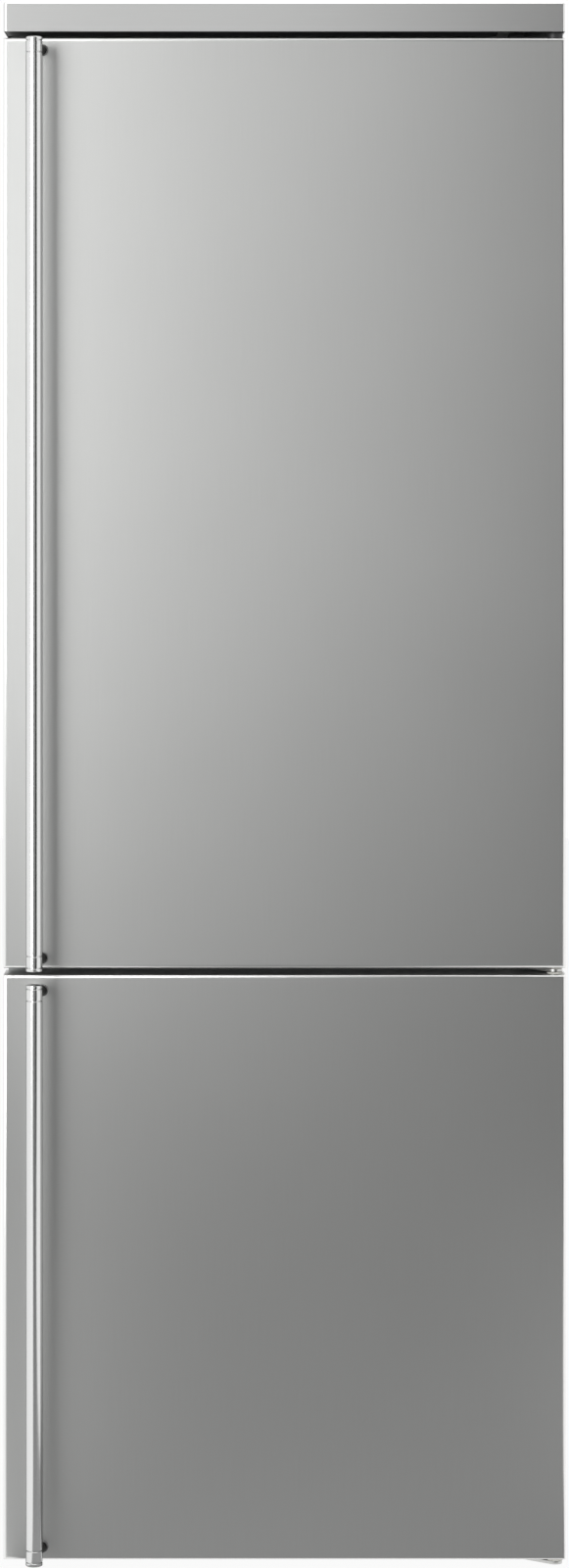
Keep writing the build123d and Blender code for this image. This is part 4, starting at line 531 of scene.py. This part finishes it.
def new_tree(name, **inputs):
    """The graph of a Geometry Nodes tree with named inputs, their identifiers, and its input node."""
    tree = bpy.data.node_groups.new(name, "GeometryNodeTree")
    tree.interface.new_socket("Geometry", in_out="INPUT", socket_type="NodeSocketGeometry")
    keys = {label: tree.interface.new_socket(label, in_out="INPUT", socket_type="NodeSocket" + kind).identifier
            for label, kind in {"Pattern": "Object", "Paint": "Material", **inputs}.items()}
    tree.interface.new_socket("Geometry", in_out="OUTPUT", socket_type="NodeSocketGeometry")
    graph = Graph(tree)
    return graph, keys, graph.add("NodeGroupInput")


def end_tree(graph, source, points, **spread):
    """Ends a tree: its pattern is set on points, made real and painted."""
    pattern = graph.add("GeometryNodeObjectInfo", (source, "Pattern"), transform_space="ORIGINAL")
    spots = graph.add("GeometryNodeInstanceOnPoints", points, Instance=(pattern, "Geometry"), **spread)
    real = graph.add("GeometryNodeRealizeInstances", spots)
    graph.add("NodeGroupOutput", graph.add("GeometryNodeSetMaterial", real, Material=(source, "Paint")))


def grown(name, points, graph, keys, **values):
    """Runs a tree over points, each a place, a turn and a size, and returns a plain mesh."""
    mesh = bpy.data.meshes.new(name)
    mesh.from_pydata([point[0] for point in points], [], [])
    for index, label in ((1, "turn"), (2, "size")):
        layer = mesh.attributes.new(label, "FLOAT_VECTOR", "POINT")
        for spot, point in zip(layer.data, points):
            spot.vector = point[index]
    piece = linked(name, mesh)
    modifier = piece.modifiers.new("pattern", "NODES")
    modifier.node_group = graph.tree
    for label, value in values.items():
        modifier[keys[label]] = value
    piece = worked(piece)
    bpy.data.objects.remove(values["Pattern"])
    return piece


graph, keys, source = new_tree("pattern_on_points", Scale="Float")
turn, size = (graph.add("GeometryNodeInputNamedAttribute", data_type="FLOAT_VECTOR", Name=label)
              for label in ("turn", "size"))
scaled = graph.add("ShaderNodeVectorMath", size, operation="SCALE", Scale=(source, "Scale"))
end_tree(graph, source, (source, "Geometry"), Rotation=turn, Scale=scaled)

shank_radius, shank_depth, shank_overlap = 2.4 * MM, 5 * MM, 0.2 * MM
head_flats, head_height, head_ease, washer_rise = 5.6 * MM, 4 * MM, 0.6 * MM, 0.9 * MM
socket_radius, socket_floor = 2.6 * MM, head_height - 2.2 * MM
shape = bmesh.new()
add_lathe(shape, [(shank_radius, -shank_depth), (shank_radius, shank_overlap)], sides=16)
add_lathe(shape, [(6.4 * MM, 0), (6.4 * MM, washer_rise * 0.6), (5.9 * MM, washer_rise)], sides=32)
add_lathe(shape, [(head_flats, washer_rise), (head_flats, head_height - head_ease),
                  (head_flats * 0.86, head_height), (socket_radius, head_height),
                  (socket_radius * 0.9, socket_floor), (0, socket_floor)], sides=6)
screw_pattern = smooth(from_bmesh("screw_pattern", shape), 20)
top_hinge_above, bottom_hinge_below = 1.9, 0.5
foot_sheet, foot_size = 2 * MM, (0.8, 0.8, 0.5)  # the middle hinge's foot has smaller screws
points = []
for low, high in solids_of("hinge_screws"):
    x, y, z = (low + high) / 2
    if low.z > top_hinge_above:
        points.append(((x, y, high.z - head_height), (0, 0, 0.3), (1, 1, 1)))
    elif low.z > bottom_hinge_below:
        points.append(((x, low.y + foot_sheet, z), (radians(90), 0, 0), foot_size))
    else:
        points.append(((x, y, low.z + head_height), (radians(180), 0, 0.2), (1, 1, 1)))
screws = grown("hinge_screw_set", points, graph, keys, Pattern=screw_pattern, Scale=1.0, Paint=zinc)
fitted(screws, zinc, "plated_steel", "hinge_screws")


# ---- hinge bushes ----
# Flanged nylon bushes pressed into each door's ends. The hinge pins turn in them. The one under
# the cap is black.
nylon = finish("white_nylon", (0.78, 0.77, 0.72), 0.48, 0.9 * MM, 0.05 * MM, shade=0.02)
flange_radius, bush_radius, pin_bore, bush_ease = 10 * MM, 7 * MM, 4.06 * MM, 0.6 * MM
for door in ("upper", "lower"):
    door_bottom, door_top = (corner.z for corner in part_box(door + "_door_skin"))
    white_bushes, black_bushes = bmesh.new(), bmesh.new()
    for low, high in solids_of(door + "_door_bushes"):
        at_bottom = low.z < (door_bottom + door_top) / 2
        shape = black_bushes if door == "upper" and not at_bottom else white_bushes
        outer_end, door_end = (low.z, door_bottom) if at_bottom else (high.z, door_top)
        rim, deep = abs(door_end - outer_end), high.z - low.z
        profile = [(pin_bore, 0), (flange_radius - bush_ease, 0), (flange_radius, bush_ease),
                   (flange_radius, rim), (bush_radius, rim), (bush_radius, deep - bush_ease),
                   (bush_radius - bush_ease, deep), (pin_bore, deep)]
        centre = ((low.x + high.x) / 2, (low.y + high.y) / 2, outer_end)
        add_lathe(shape, profile, centre, (0, 0, 1 if at_bottom else -1), 48, hollow=True)
    made(door + "_door_white_bushes", white_bushes, 35, nylon, "nylon", door + "_door_bushes")
    if black_bushes.verts:
        made(door + "_door_black_bush", black_bushes, 35, dark_plastic, "dark_plastic", door + "_door_bushes")


# ---- door gaskets ----
# Extruded soft vinyl with a magnet strip in its hollow lip, mitred and welded at the corners,
# and pushed by its dart into the groove of the door's liner.
seal_rubber = finish("grey_gasket_vinyl", (0.42, 0.425, 0.42), 0.58, 0.8 * MM, 0.08 * MM, shade=0.05)
for door in ("upper", "lower"):
    dressed(door + "_door_seal", door + "_door_gasket", seal_rubber, "seal_rubber", 0.5 * MM, 2, 30)


# ---- liners ----
# Vacuum-formed high-impact polystyrene: a tub for each compartment with ledges for the shelves,
# and a panel with a raised rim inside each door. Glossy white with the sheet's slight ripple.
liner_plastic = finish("formed_white_liner", (0.86, 0.87, 0.87), 0.24, 6 * MM, 0.12 * MM, shade=0.012)
for place, part in (("fridge", "compartment_liner"), ("freezer", "compartment_liner"),
                    ("upper_door", "inner_panel"), ("lower_door", "inner_panel")):
    dressed(place + "_" + part, place + "_liner", liner_plastic, "liner_plastic", 3 * MM, 4)


# ---- glass shelves ----
# Toughened float glass with ground edges, which look green because they are seen through the
# plate's width.
def clear_finish(name, colour, roughness, face, rim, rim_colour=None, ior=1.52, ripple=12 * MM):
    """Glass or clear plastic: faint face on, denser at a glancing angle and at its cut edges."""
    paint, graph = new_paint(name)
    flow = noise(graph, (graph.add("ShaderNodeTexCoord"), "Object"), 1 / ripple, 2.0, 0.5)
    tone = tinted_by(graph, flow, colour, 0.02)
    density = graph.mapped((graph.add("ShaderNodeLayerWeight", Blend=0.35), "Facing"), face, rim)
    if rim_colour:
        upright = graph.add("ShaderNodeSeparateXYZ", (graph.add("ShaderNodeNewGeometry"), "Normal"))
        lean = graph.add("ShaderNodeMath", (upright, "Z"), operation="ABSOLUTE")
        cut = graph.mapped(lean, 0, 1, From_Min=0.7, From_Max=0.3)
        tone = laid_over(graph, tone, cut, rim_colour)
        density = graph.greater(density, graph.mapped(cut, 0, 0.85))
    surfaced(graph, flow, roughness, 0.2, flow, 0.06, 0.1 * MM, Base_Color=tone, Alpha=density, IOR=ior)
    return paint


shelf_glass = clear_finish("toughened_shelf_glass", (0.8, 0.9, 0.88), 0.04, 0.16, 0.75, (0.2, 0.46, 0.38))
dressed("glass_shelf_plates", "glass_shelves", shelf_glass, "shelf_glass", 0.5 * MM, 2)


# ---- shelf trims ----
# Extruded grey trims clipped over the front edge of each glass plate, and low stops behind.
grey_plastic = finish("grey_moulded_plastic", (0.55, 0.56, 0.565), 0.36, 0.7 * MM, 0.05 * MM, shade=0.02)
dressed("shelf_front_trims", "shelf_trims", grey_plastic, "grey_plastic", 0.8 * MM, 3)


# ---- bottle rack ----
# Chromed steel wire: two waved cross wires with straight wires welded along them, so that each
# trough cradles a bottle. Its ends hang on the liner's ledges.
chrome = finish("chromed_wire", (0.78, 0.785, 0.79), 0.07, 1.2 * MM, 0.01 * MM, 1.0, 0.02)


def wire_runs(name, runs, radius, paint, slot, node, sides=5):
    """Round wires or tubes along lines of points, as one finished piece."""
    data = bpy.data.curves.new(name, "CURVE")
    data.dimensions = "3D"
    data.bevel_depth, data.bevel_resolution = radius, sides
    data.use_fill_caps = True
    for line in runs:
        run = data.splines.new("POLY")
        run.points.add(len(line) - 1)
        for point, place in zip(run.points, line):
            point.co = (*place, 1)
    curve = linked(name, data)
    graph = bpy.context.evaluated_depsgraph_get()
    mesh = bpy.data.meshes.new_from_object(curve.evaluated_get(graph))
    bpy.data.objects.remove(curve)
    mesh.name = name
    return fitted(smooth(linked(name, mesh), 40), paint, slot, node)


def eased_line(corners, radius, steps=8):
    """A line through corners with each turned on a radius, as a bending tool leaves it."""
    line = [Vector(corners[0])]
    for before, corner, after in zip(corners, corners[1:], corners[2:]):
        corner, back, ahead = Vector(corner), Vector(before) - Vector(corner), Vector(after) - Vector(corner)
        turn = back.angle(ahead)
        cut = min(radius / max(abs(sin(turn / 2) / cos(turn / 2)), 1e-6) if turn < pi - 1e-3 else 0,
                  back.length * 0.49, ahead.length * 0.49)
        start, stop = corner + back.normalized() * cut, corner + ahead.normalized() * cut
        for i in range(steps + 1):
            t = i / steps
            line.append(start * (1 - t) ** 2 + corner * 2 * t * (1 - t) + stop * t ** 2)
    return line + [Vector(corners[-1])]


def to_and_fro(start, left, right, stop, y, foot, pitch, rows):
    """The corners of a tube that runs to and fro between two sides, row over row."""
    corners = [(start, y, foot)]
    for i in range(rows - 1):
        x = left if i % 2 else right
        corners += [(x, y, foot + pitch * i), (x, y, foot + pitch * (i + 1))]
    return corners + [(stop, y, foot + pitch * (rows - 1))]


wire_radius, wire_bend, wire_inset = 3 * MM, 12 * MM, 0.3 * MM
rack_troughs, trough_flat = 4, 0.4               # troughs, and the share of one that is level
ledge_reach = 4 * MM
low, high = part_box("bottle_rack")
sag = high.z - low.z - 2 * wire_radius
wire_z = high.z - wire_radius
cradle = high.x - ledge_reach - 2 * wire_radius
trough = 2 * cradle / rack_troughs
across = [(low.x, wire_z)]
for k in range(rack_troughs):
    left = -cradle + trough * k
    across += [(left, wire_z), (left + trough * (1 - trough_flat) / 2, wire_z - sag),
               (left + trough * (1 + trough_flat) / 2, wire_z - sag)]
across += [(cradle, wire_z), (high.x, wire_z)]
runs = [eased_line([(x, y, z) for x, z in across], wire_bend, 6)
        for y in (low.y + wire_radius, high.y - wire_radius)]
for k, (x, z) in enumerate(across):
    at_end = k in (0, len(across) - 1)
    if z < wire_z or at_end:
        x -= wire_radius * (1 if x > 0 else -1) if at_end else 0
        runs.append([(x, low.y + wire_inset, z), (x, high.y - wire_inset, z)])
wire_runs("bottle_rack_wires", runs, wire_radius, chrome, "chrome_wire", "bottle_rack", 4)


# ---- clear drawers, bins and dairy box ----
# Injection-moulded clear polystyrene with drafted walls, stiff rims and finger pulls. The drawers
# run on the liner's ledges, the bins hook on the door panel's ledges.
clear_plastic = clear_finish("clear_moulded_plastic", (0.82, 0.88, 0.9), 0.08, 0.15, 0.66, ior=1.58,
                             ripple=50 * MM)
clear_pieces = {
    "crisper_drawer": "vegetable_drawer", "fresh_food_drawer": "fresh_drawer",
    "upper_freezer_drawer": "freezer_drawer_top", "centre_freezer_drawer": "freezer_drawer_middle",
    "lower_freezer_drawer": "freezer_drawer_bottom", "upper_door_shelf": "top_door_bin",
    "centre_door_shelf": "middle_door_bin", "bottle_door_shelf": "bottle_bin",
    "dairy_tub": "dairy_box", "dairy_flap": "dairy_lid"}
for name, node in clear_pieces.items():
    dressed(name, node, clear_plastic, "clear_plastic", 0.9 * MM, 3)


# ---- humidity slide ----
# A ribbed grey thumb slide in the lowest trim that opens the crisper's vent.
dressed("humidity_thumb_slide", "humidity_slider", grey_plastic, "grey_plastic", 0.3 * MM, 2)


# ---- air duct ----
# A white moulded channel down the middle of the back wall with two ladders of outlets.
white_plastic = finish("white_moulded_plastic", (0.8, 0.81, 0.81), 0.38, 0.8 * MM, 0.05 * MM, shade=0.015)
dressed("cold_air_duct", "air_duct_panel", white_plastic, "white_plastic", 1 * MM, 3)


# ---- lamp and controls ----
# A frosted prismatic lens snapped into the ceiling, with the touch control's white housing
# behind it. The housing's sunk window is smoked and carries five plain round keys.
def add_block(shape, centre, size):
    """Adds a box about its centre."""
    bmesh.ops.create_cube(shape, size=1, matrix=Matrix.Translation(centre) @ Matrix.Diagonal((*size, 1)))


frosted = clear_finish("frosted_lens", (0.9, 0.92, 0.93), 0.35, 0.45, 0.85, ior=1.58, ripple=4 * MM)
smoked = finish("smoked_display_plastic", (0.012, 0.012, 0.014), 0.1, 4 * MM, 0.02 * MM, shade=0.02)
dressed("ceiling_lamp_lens", "lamp_lens", frosted, "clear_plastic", 0.6 * MM, 2)
dressed("control_housing", "control_panel", white_plastic, "white_plastic", 0.8 * MM, 3)
panel_low, panel_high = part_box("control_panel")
key_count, key_pitch, key_radius, key_rise, key_sink = 5, 21 * MM, 6 * MM, 0.5 * MM, 0.5 * MM
window_width, window_sunk, window_sheet, window_gap = 120 * MM, 1 * MM, 0.8 * MM, 0.4 * MM
window_front, window_back = panel_low.y + 27 * MM, panel_high.y - 12 * MM
window_y, window_z = (window_front + window_back) / 2, panel_low.z + window_sunk
shape = bmesh.new()
add_block(shape, (0, window_y, window_z - 0.2 * MM),
          (window_width - window_gap, window_back - window_front - window_gap, window_sheet))
made("control_window", shape, 30, smoked, "dark_plastic", "control_panel")
shape = bmesh.new()
for i in range(key_count):
    add_lathe(shape, [(key_radius, 0), (key_radius, key_rise - 0.2 * MM), (key_radius - 0.3 * MM, key_rise),
                      (0, key_rise)],
              ((i - (key_count - 1) / 2) * key_pitch, window_y, window_z - key_sink), (0, 0, -1), 40)
made("control_keys", shape, 30, grey_plastic, "grey_plastic", "control_panel")


# ---- evaporator cover ----
# The freezer's white back wall, moulded with the fan's ring, its motor and struts, and a row of
# return slots at its foot.
dressed("evaporator_wall", "evaporator_cover", white_plastic, "white_plastic", 0.8 * MM, 2, 30)


# ---- evaporator ----
# Aluminium tube bent to and fro through a pack of thin stamped fins, with hairpin bends showing
# at both ends and two hangers on the back wall.
aluminium = finish("mill_aluminium", (0.68, 0.69, 0.69), 0.34, 1.2 * MM, 0.03 * MM, 0.95, 0.06)
fin_thickness, fin_count = 0.5 * MM, 65
pack_half, bend_reach = 200 * MM, 17 * MM
pack_low, pack_high = 300 * MM, 510 * MM
coil_low, coil_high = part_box("evaporator")
pack_front, pack_back = coil_low.y, coil_low.y + 54 * MM
pack_z, pack_height = (pack_low + pack_high) / 2, pack_high - pack_low
pack_y, pack_depth = (pack_front + pack_back) / 2, pack_back - pack_front
tube_radius, tube_rows, tube_bend = 4 * MM, 5, 20 * MM
tube_y, row_pitch = pack_back - 13.4 * MM, pack_height / tube_rows
hanger_inset, hanger_width, hanger_height, hanger_overlap = 20 * MM, 20 * MM, 170 * MM, 1 * MM

graph, keys, source = new_tree("row_of_fins", Count="Int", Pitch="Float", Start="Float")
first, step = (graph.add("ShaderNodeCombineXYZ", (source, label)) for label in ("Start", "Pitch"))
line = graph.add("GeometryNodeMeshLine", (source, "Count"), mode="OFFSET", Start_Location=first, Offset=step)
end_tree(graph, source, line)

shape = bmesh.new()
add_block(shape, (0, pack_y, pack_z), (fin_thickness, pack_depth, pack_height))
fins = grown("evaporator_fins", [((0, 0, 0), (0, 0, 0), (1, 1, 1))], graph, keys, Count=fin_count,
             Pitch=2 * pack_half / (fin_count - 1), Start=-pack_half, Paint=aluminium,
             Pattern=from_bmesh("fin_pattern", shape))
fitted(fins, aluminium, "coil_aluminium", "evaporator")
tip = pack_half + bend_reach
tube_line = to_and_fro(-pack_half, -tip, tip, pack_half, tube_y, pack_low + row_pitch / 2, row_pitch, tube_rows)
wire_runs("evaporator_tubes", [eased_line(tube_line, tube_bend)], tube_radius, aluminium, "coil_aluminium",
          "evaporator")
shape = bmesh.new()
hanger_front = pack_back - hanger_overlap
for side in (-1, 1):
    add_block(shape, (side * (pack_half - hanger_inset), (hanger_front + coil_high.y) / 2, pack_z),
              (hanger_width, coil_high.y - hanger_front, hanger_height))
made("evaporator_hangers", shape, 30, aluminium, "coil_aluminium", "evaporator")


# ---- fans ----
# One-piece moulded axial rotors: a domed hub on the motor's shaft with five swept and cambered
# blades. The freezer's is white behind its wall, the compressor bay's is dark in its frame.
fan_radius, hub_radius, hub_half, shaft_radius = 55 * MM, 17 * MM, 9 * MM, 2.1 * MM
hub_profile = [(shaft_radius, -hub_half), (hub_radius - 1 * MM, -hub_half), (hub_radius, -hub_half + 1 * MM),
               (hub_radius, hub_half - 3 * MM), (hub_radius - 1 * MM, hub_half - 1.2 * MM),
               (hub_radius - 3 * MM, hub_half), (shaft_radius, hub_half)]
blade_count, blade_pitch, blade_sheet, blade_root = 5, radians(32), 2 * MM, 1.5 * MM
blade_chord, blade_camber, blade_sweep = 33 * MM, 3 * MM, radians(9)
tip_share, tip_narrowing, thin_edge = 0.14, 0.16, 0.12
spans, chords = 9, 11


def blade_point(base, side, along, s):
    """A point of a blade's skin, at a share of its length and from -0.5 to 0.5 of its chord."""
    radius = hub_radius - blade_root + (fan_radius - hub_radius + blade_root) * along
    corner = max(0.0, along - 1 + tip_share) / tip_share
    width = blade_chord * (1 - tip_narrowing * corner ** 2)
    rise = s * width * sin(blade_pitch) + blade_camber * (0.5 - 4 * s * s)
    thick = blade_sheet / 2 * max(thin_edge, 1 - (2 * abs(s)) ** 4)
    angle = base + s * width * cos(blade_pitch) / radius + blade_sweep * along * along
    return radius * cos(angle), radius * sin(angle), rise + side * thick


def fan_rotor(name, node, axis, paint, slot):
    """A hub with cambered blades, their skins grown along the radius and across the chord."""
    shape = bmesh.new()
    add_lathe(shape, hub_profile, hollow=True)
    for blade in range(blade_count):
        base = 2 * pi * blade / blade_count
        upper, lower = ([[shape.verts.new(blade_point(base, side, i / spans, j / chords - 0.5))
                          for j in range(chords + 1)] for i in range(spans + 1)] for side in (1, -1))
        for grid, order in ((upper, 1), (lower, -1)):
            for i in range(spans):
                for j in range(chords):
                    shape.faces.new([grid[i][j], grid[i + 1][j], grid[i + 1][j + 1], grid[i][j + 1]][::order])
        border = [(i, 0) for i in range(spans)] + [(spans, j) for j in range(chords)]
        border += [(i, chords) for i in range(spans, 0, -1)] + [(0, j) for j in range(chords, 0, -1)]
        for (i, j), (m, n) in zip(border, border[1:] + border[:1]):
            shape.faces.new((upper[i][j], lower[i][j], lower[m][n], upper[m][n]))
    turn = Vector(axis).to_track_quat("Z", "Y").to_matrix().to_4x4()
    shape.transform(Matrix.Translation(sum(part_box(node), Vector()) / 2) @ turn)
    made(name, shape, 40, paint, slot, node)


fan_rotor("freezer_fan_rotor", "evaporator_fan", (0, 1, 0), white_plastic, "white_plastic")
fan_rotor("bay_fan_rotor", "condenser_fan", (1, 0, 0), dark_plastic, "dark_plastic")


# ---- compressor bay ----
# The bay's deck is galvanised sheet with turned-up edges. It carries the rollers' forks and axles.
dressed("bay_deck", "compressor_deck", galvanised, "plated_steel", 0.4 * MM)


# ---- compressor ----
# A hermetic can of two drawn steel shells welded at a flange, painted black, on a foot plate with
# four rubber mounts. A terminal box is clipped to its side and short copper stubs leave it.
black_paint = finish("black_enamel", (0.03, 0.03, 0.031), 0.34, 1.8 * MM, 0.08 * MM, shade=0.1,
                     worn=(0.1, 0.1, 0.1))
can_radius, can_height, can_ease = 78 * MM, 150 * MM, 28 * MM
can_x, can_base = 190 * MM, 42 * MM
bay_y = (sum(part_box("condenser_fan"), Vector()) / 2).y
weld_z, weld_reach, weld_sheet, weld_ease, weld_bead = 67.5 * MM, 8 * MM, 4 * MM, 0.6 * MM, 1 * MM
plate_reach, plate_sheet, mount_spread = 72 * MM, 3 * MM, 60 * MM
mount_radius, mount_height, mount_steps, mount_rib = 8.5 * MM, 14 * MM, 6, 1.6 * MM
box_size, box_overlap, box_middle, box_ease = (34 * MM, 44 * MM, 54 * MM), 8 * MM, 57 * MM, 3 * MM
shoulder_steps = 8
shoulder = [(can_radius - can_ease * (1 - cos(turn)), can_ease * (1 - sin(turn)))
            for turn in (radians(90 * i / shoulder_steps) for i in range(shoulder_steps + 1))]
weld_top, weld_edge = weld_z + weld_sheet, can_radius + weld_reach
seam = [(can_radius, weld_z - weld_bead), (can_radius + weld_bead, weld_z), (weld_edge - weld_ease, weld_z),
        (weld_edge, weld_z + weld_ease), (weld_edge, weld_top - weld_ease), (weld_edge - weld_ease, weld_top),
        (can_radius + weld_bead, weld_top), (can_radius, weld_top + weld_bead)]
shape = bmesh.new()
add_lathe(shape, [(0, 0)] + shoulder[::-1] + seam + [(radius, can_height - drop) for radius, drop in shoulder]
          + [(0, can_height)], (can_x, bay_y, can_base), sides=96)
add_block(shape, (can_x, bay_y, can_base + plate_sheet / 2), (2 * plate_reach, mount_spread, plate_sheet))
made("compressor_can", shape, 35, black_paint, "black_paint", "compressor")
grommet = [(mount_radius - (mount_rib if i % 2 else 0), mount_height * i / mount_steps)
           for i in range(mount_steps + 1)]
shape = bmesh.new()
for x in (-mount_spread, mount_spread):
    for y in (-mount_spread / 3, mount_spread / 3):
        add_lathe(shape, [(0, 0)] + grommet + [(0, mount_height)],
                  (can_x + x, bay_y + y, can_base - mount_height), sides=32)
made("compressor_mounts", shape, 50, seal_rubber, "seal_rubber", "compressor")
shape = bmesh.new()
add_block(shape, (can_x - can_radius - box_size[0] / 2 + box_overlap, bay_y, can_base + box_middle), box_size)
bmesh.ops.bevel(shape, geom=shape.edges, offset=box_ease, segments=3, affect="EDGES")
made("compressor_terminal_box", shape, 30, dark_plastic, "dark_plastic", "compressor")


# ---- condenser ----
# Two banks of black enamelled steel tube bent to and fro, joined by one bend at their top. A
# plate that stands on the deck holds them, with a ring round each tube.
coil_radius, coil_rows, bank_apart = 4 * MM, 4, 60 * MM
coil_left, coil_right = -308 * MM, -88 * MM
coil_foot, coil_rise = 46 * MM, 150 * MM
coil_top = coil_foot + coil_rise
bend = coil_rise / (coil_rows - 1) / 2
bend_share, turn_steps = 0.97, 12
comb_margin, comb_sheet, comb_corner = 14 * MM, 2 * MM, 6 * MM
bush_inner, bush_lip, bush_outer, bush_half = 4.2 * MM, 5.6 * MM, 6.2 * MM, 2.2 * MM
row_ys = (bay_y - bank_apart / 2, bay_y + bank_apart / 2)
banks = [eased_line(to_and_fro(coil_left, coil_left, coil_right, coil_left, y, coil_foot, 2 * bend, coil_rows),
                    bend * bend_share, 10) for y in row_ys]
top_bend = [Vector((coil_left - bend * sin(turn), bay_y - bank_apart / 2 * cos(turn), coil_top))
            for turn in (pi * i / turn_steps for i in range(1, turn_steps))]
wire_runs("condenser_tubes", [banks[0] + top_bend + banks[1][::-1]], coil_radius, black_paint, "black_paint",
          "condenser_coil")
comb_x = (coil_left + coil_right) / 2
comb_low, comb_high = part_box("condenser_coil")[0].z, coil_top + comb_margin
shape = bmesh.new()
add_block(shape, (comb_x, bay_y, (comb_low + comb_high) / 2),
          (comb_sheet, bank_apart + 2 * comb_margin, comb_high - comb_low))
through = [edge for edge in shape.edges if abs((edge.verts[0].co - edge.verts[1].co).x) > comb_sheet / 2]
bmesh.ops.bevel(shape, geom=through, offset=comb_corner, segments=4, affect="EDGES")
ring = [(bush_inner, -bush_half), (bush_lip, -bush_half), (bush_outer, 0), (bush_lip, bush_half),
        (bush_inner, bush_half)]
for y in row_ys:
    for i in range(coil_rows):
        add_lathe(shape, ring, (comb_x, y, coil_foot + i * 2 * bend), (1, 0, 0), 24)
made("condenser_comb", shape, 35, galvanised, "plated_steel", "condenser_coil")


# ---- refrigerant lines ----
# Copper tube brazed to the compressor's stubs: the discharge line runs low past the fan to the
# condenser's first bank, and the suction line goes up into the foam.
copper = finish("drawn_copper", (0.72, 0.36, 0.22), 0.28, 1.5 * MM, 0.02 * MM, 1.0, 0.12)
line_radius, line_bend, line_y, line_z = 3.2 * MM, 16 * MM, 168 * MM, 46 * MM
stub_z, bay_ceiling = can_base + 104 * MM, 231.5 * MM
stub_x, suction_x, suction_y = can_x - 40 * MM, can_x + 20 * MM, line_y - 6 * MM
stub_depth, suction_depth = 60 * MM, 66 * MM     # each line's start, in front of the can's middle
past_coil, tube_gap = 18 * MM, 1 * MM
discharge = [(stub_x, bay_y - stub_depth, stub_z), (stub_x, line_y, stub_z), (stub_x, line_y, line_z),
             (coil_left - past_coil, line_y, line_z), (coil_left - past_coil, row_ys[0], line_z),
             (coil_left - tube_gap, row_ys[0], line_z)]
suction = [(suction_x, bay_y - suction_depth, stub_z), (suction_x, suction_y, stub_z),
           (suction_x, suction_y, bay_ceiling)]
wire_runs("refrigerant_lines", [eased_line(discharge, line_bend), eased_line(suction, line_bend)], line_radius,
          copper, "plated_steel", "compressor", 4)


# ---- bay fan frame, drip tray, rear cover, mains inlet ----
# Moulded fan frame with its motor on struts, the tray that boils off meltwater over the warm
# compressor, the painted grille that closes the bay, and the snap-in appliance inlet.
dressed("bay_fan_frame", "condenser_fan_frame", dark_plastic, "dark_plastic", 0.8 * MM, 2, 30)
dressed("meltwater_tray", "drip_tray", dark_plastic, "dark_plastic", 1 * MM, 3)
dressed("bay_rear_grille", "bay_cover", cabinet_paint, "cabinet_paint", 0.25 * MM, 2)
dressed("appliance_inlet", "mains_inlet", dark_plastic, "dark_plastic", 0.4 * MM, 2)


# ---- feet ----
# Front levelling feet: a hexagonal moulded pad with a rounded sole on a threaded plated stem.
pad_height, pad_wall = 10 * MM, 8.4 * MM
stem_radius, stem_foot, thread_foot, stem_ease = 5 * MM, 9 * MM, 13 * MM, 1 * MM
thread_pitch, thread_root = 1.75 * MM, stem_radius - 0.55 * MM
for side in ("left", "right"):
    low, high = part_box("front_foot_" + side)
    centre = ((low.x + high.x) / 2, (low.y + high.y) / 2, 0)
    width, depth = high.x - low.x, high.y - low.y
    corner = max(width, depth) / 2
    shape = bmesh.new()
    add_lathe(shape, [(0, 0), (corner - 3 * MM, 0), (corner - 0.8 * MM, 1.2 * MM), (corner, 3 * MM),
                      (corner, pad_wall), (corner - 1.6 * MM, pad_height), (0, pad_height)], sides=6)
    shape.transform(Matrix.Translation(centre) @ Matrix.Rotation(radians(0 if width > depth else 30), 4, "Z"))
    sole = worked(rounded(from_bmesh("front_pad_" + side, shape), 1.2 * MM, 3, 40))
    fitted(smooth(sole, 30), dark_plastic, "dark_plastic", "front_foot_" + side)
    thread, z = [(0, stem_foot), (thread_root, stem_foot), (thread_root, thread_foot)], thread_foot
    while z + thread_pitch < high.z - stem_ease:
        thread += [(stem_radius, z + thread_pitch * 0.5), (thread_root, z + thread_pitch)]
        z += thread_pitch
    thread += [(stem_radius - stem_ease, high.z), (0, high.z)]
    shape = bmesh.new()
    add_lathe(shape, thread, centre, sides=32)
    made("front_stem_" + side, shape, 30, zinc, "plated_steel", "front_foot_" + side)


# ---- rollers ----
# Rear nylon rollers on the deck's axles, crowned a little and dished at their sides.
bore, boss, dish, tread, crown_drop, tread_ease = 4.3 * MM, 3 * MM, 1.2 * MM, 3 * MM, 0.2 * MM, 0.8 * MM
for side in ("left", "right"):
    low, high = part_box("rear_roller_" + side)
    wheel_radius, width = (high.z - low.z) / 2, high.x - low.x
    half = [(bore, 0), (bore + boss, 0), (bore + boss + dish / 2, dish),
            (wheel_radius - tread - dish / 2, dish), (wheel_radius - tread, 0),
            (wheel_radius - tread_ease, 0), (wheel_radius - crown_drop, tread_ease)]
    wheel = half + [(wheel_radius, width / 2)] + [(radius, width - inset) for radius, inset in half[::-1]]
    shape = bmesh.new()
    add_lathe(shape, wheel, (low.x, (low.y + high.y) / 2, (low.z + high.z) / 2), (1, 0, 0), hollow=True)
    made("rear_wheel_" + side, shape, 35, nylon, "nylon", "rear_roller_" + side)


# ---- wall buffers ----
# Four moulded buffers clipped to the back, which keep its distance from the wall.
dressed("rear_wall_buffers", "wall_spacers", dark_plastic, "dark_plastic", 1 * MM, 3, 30)
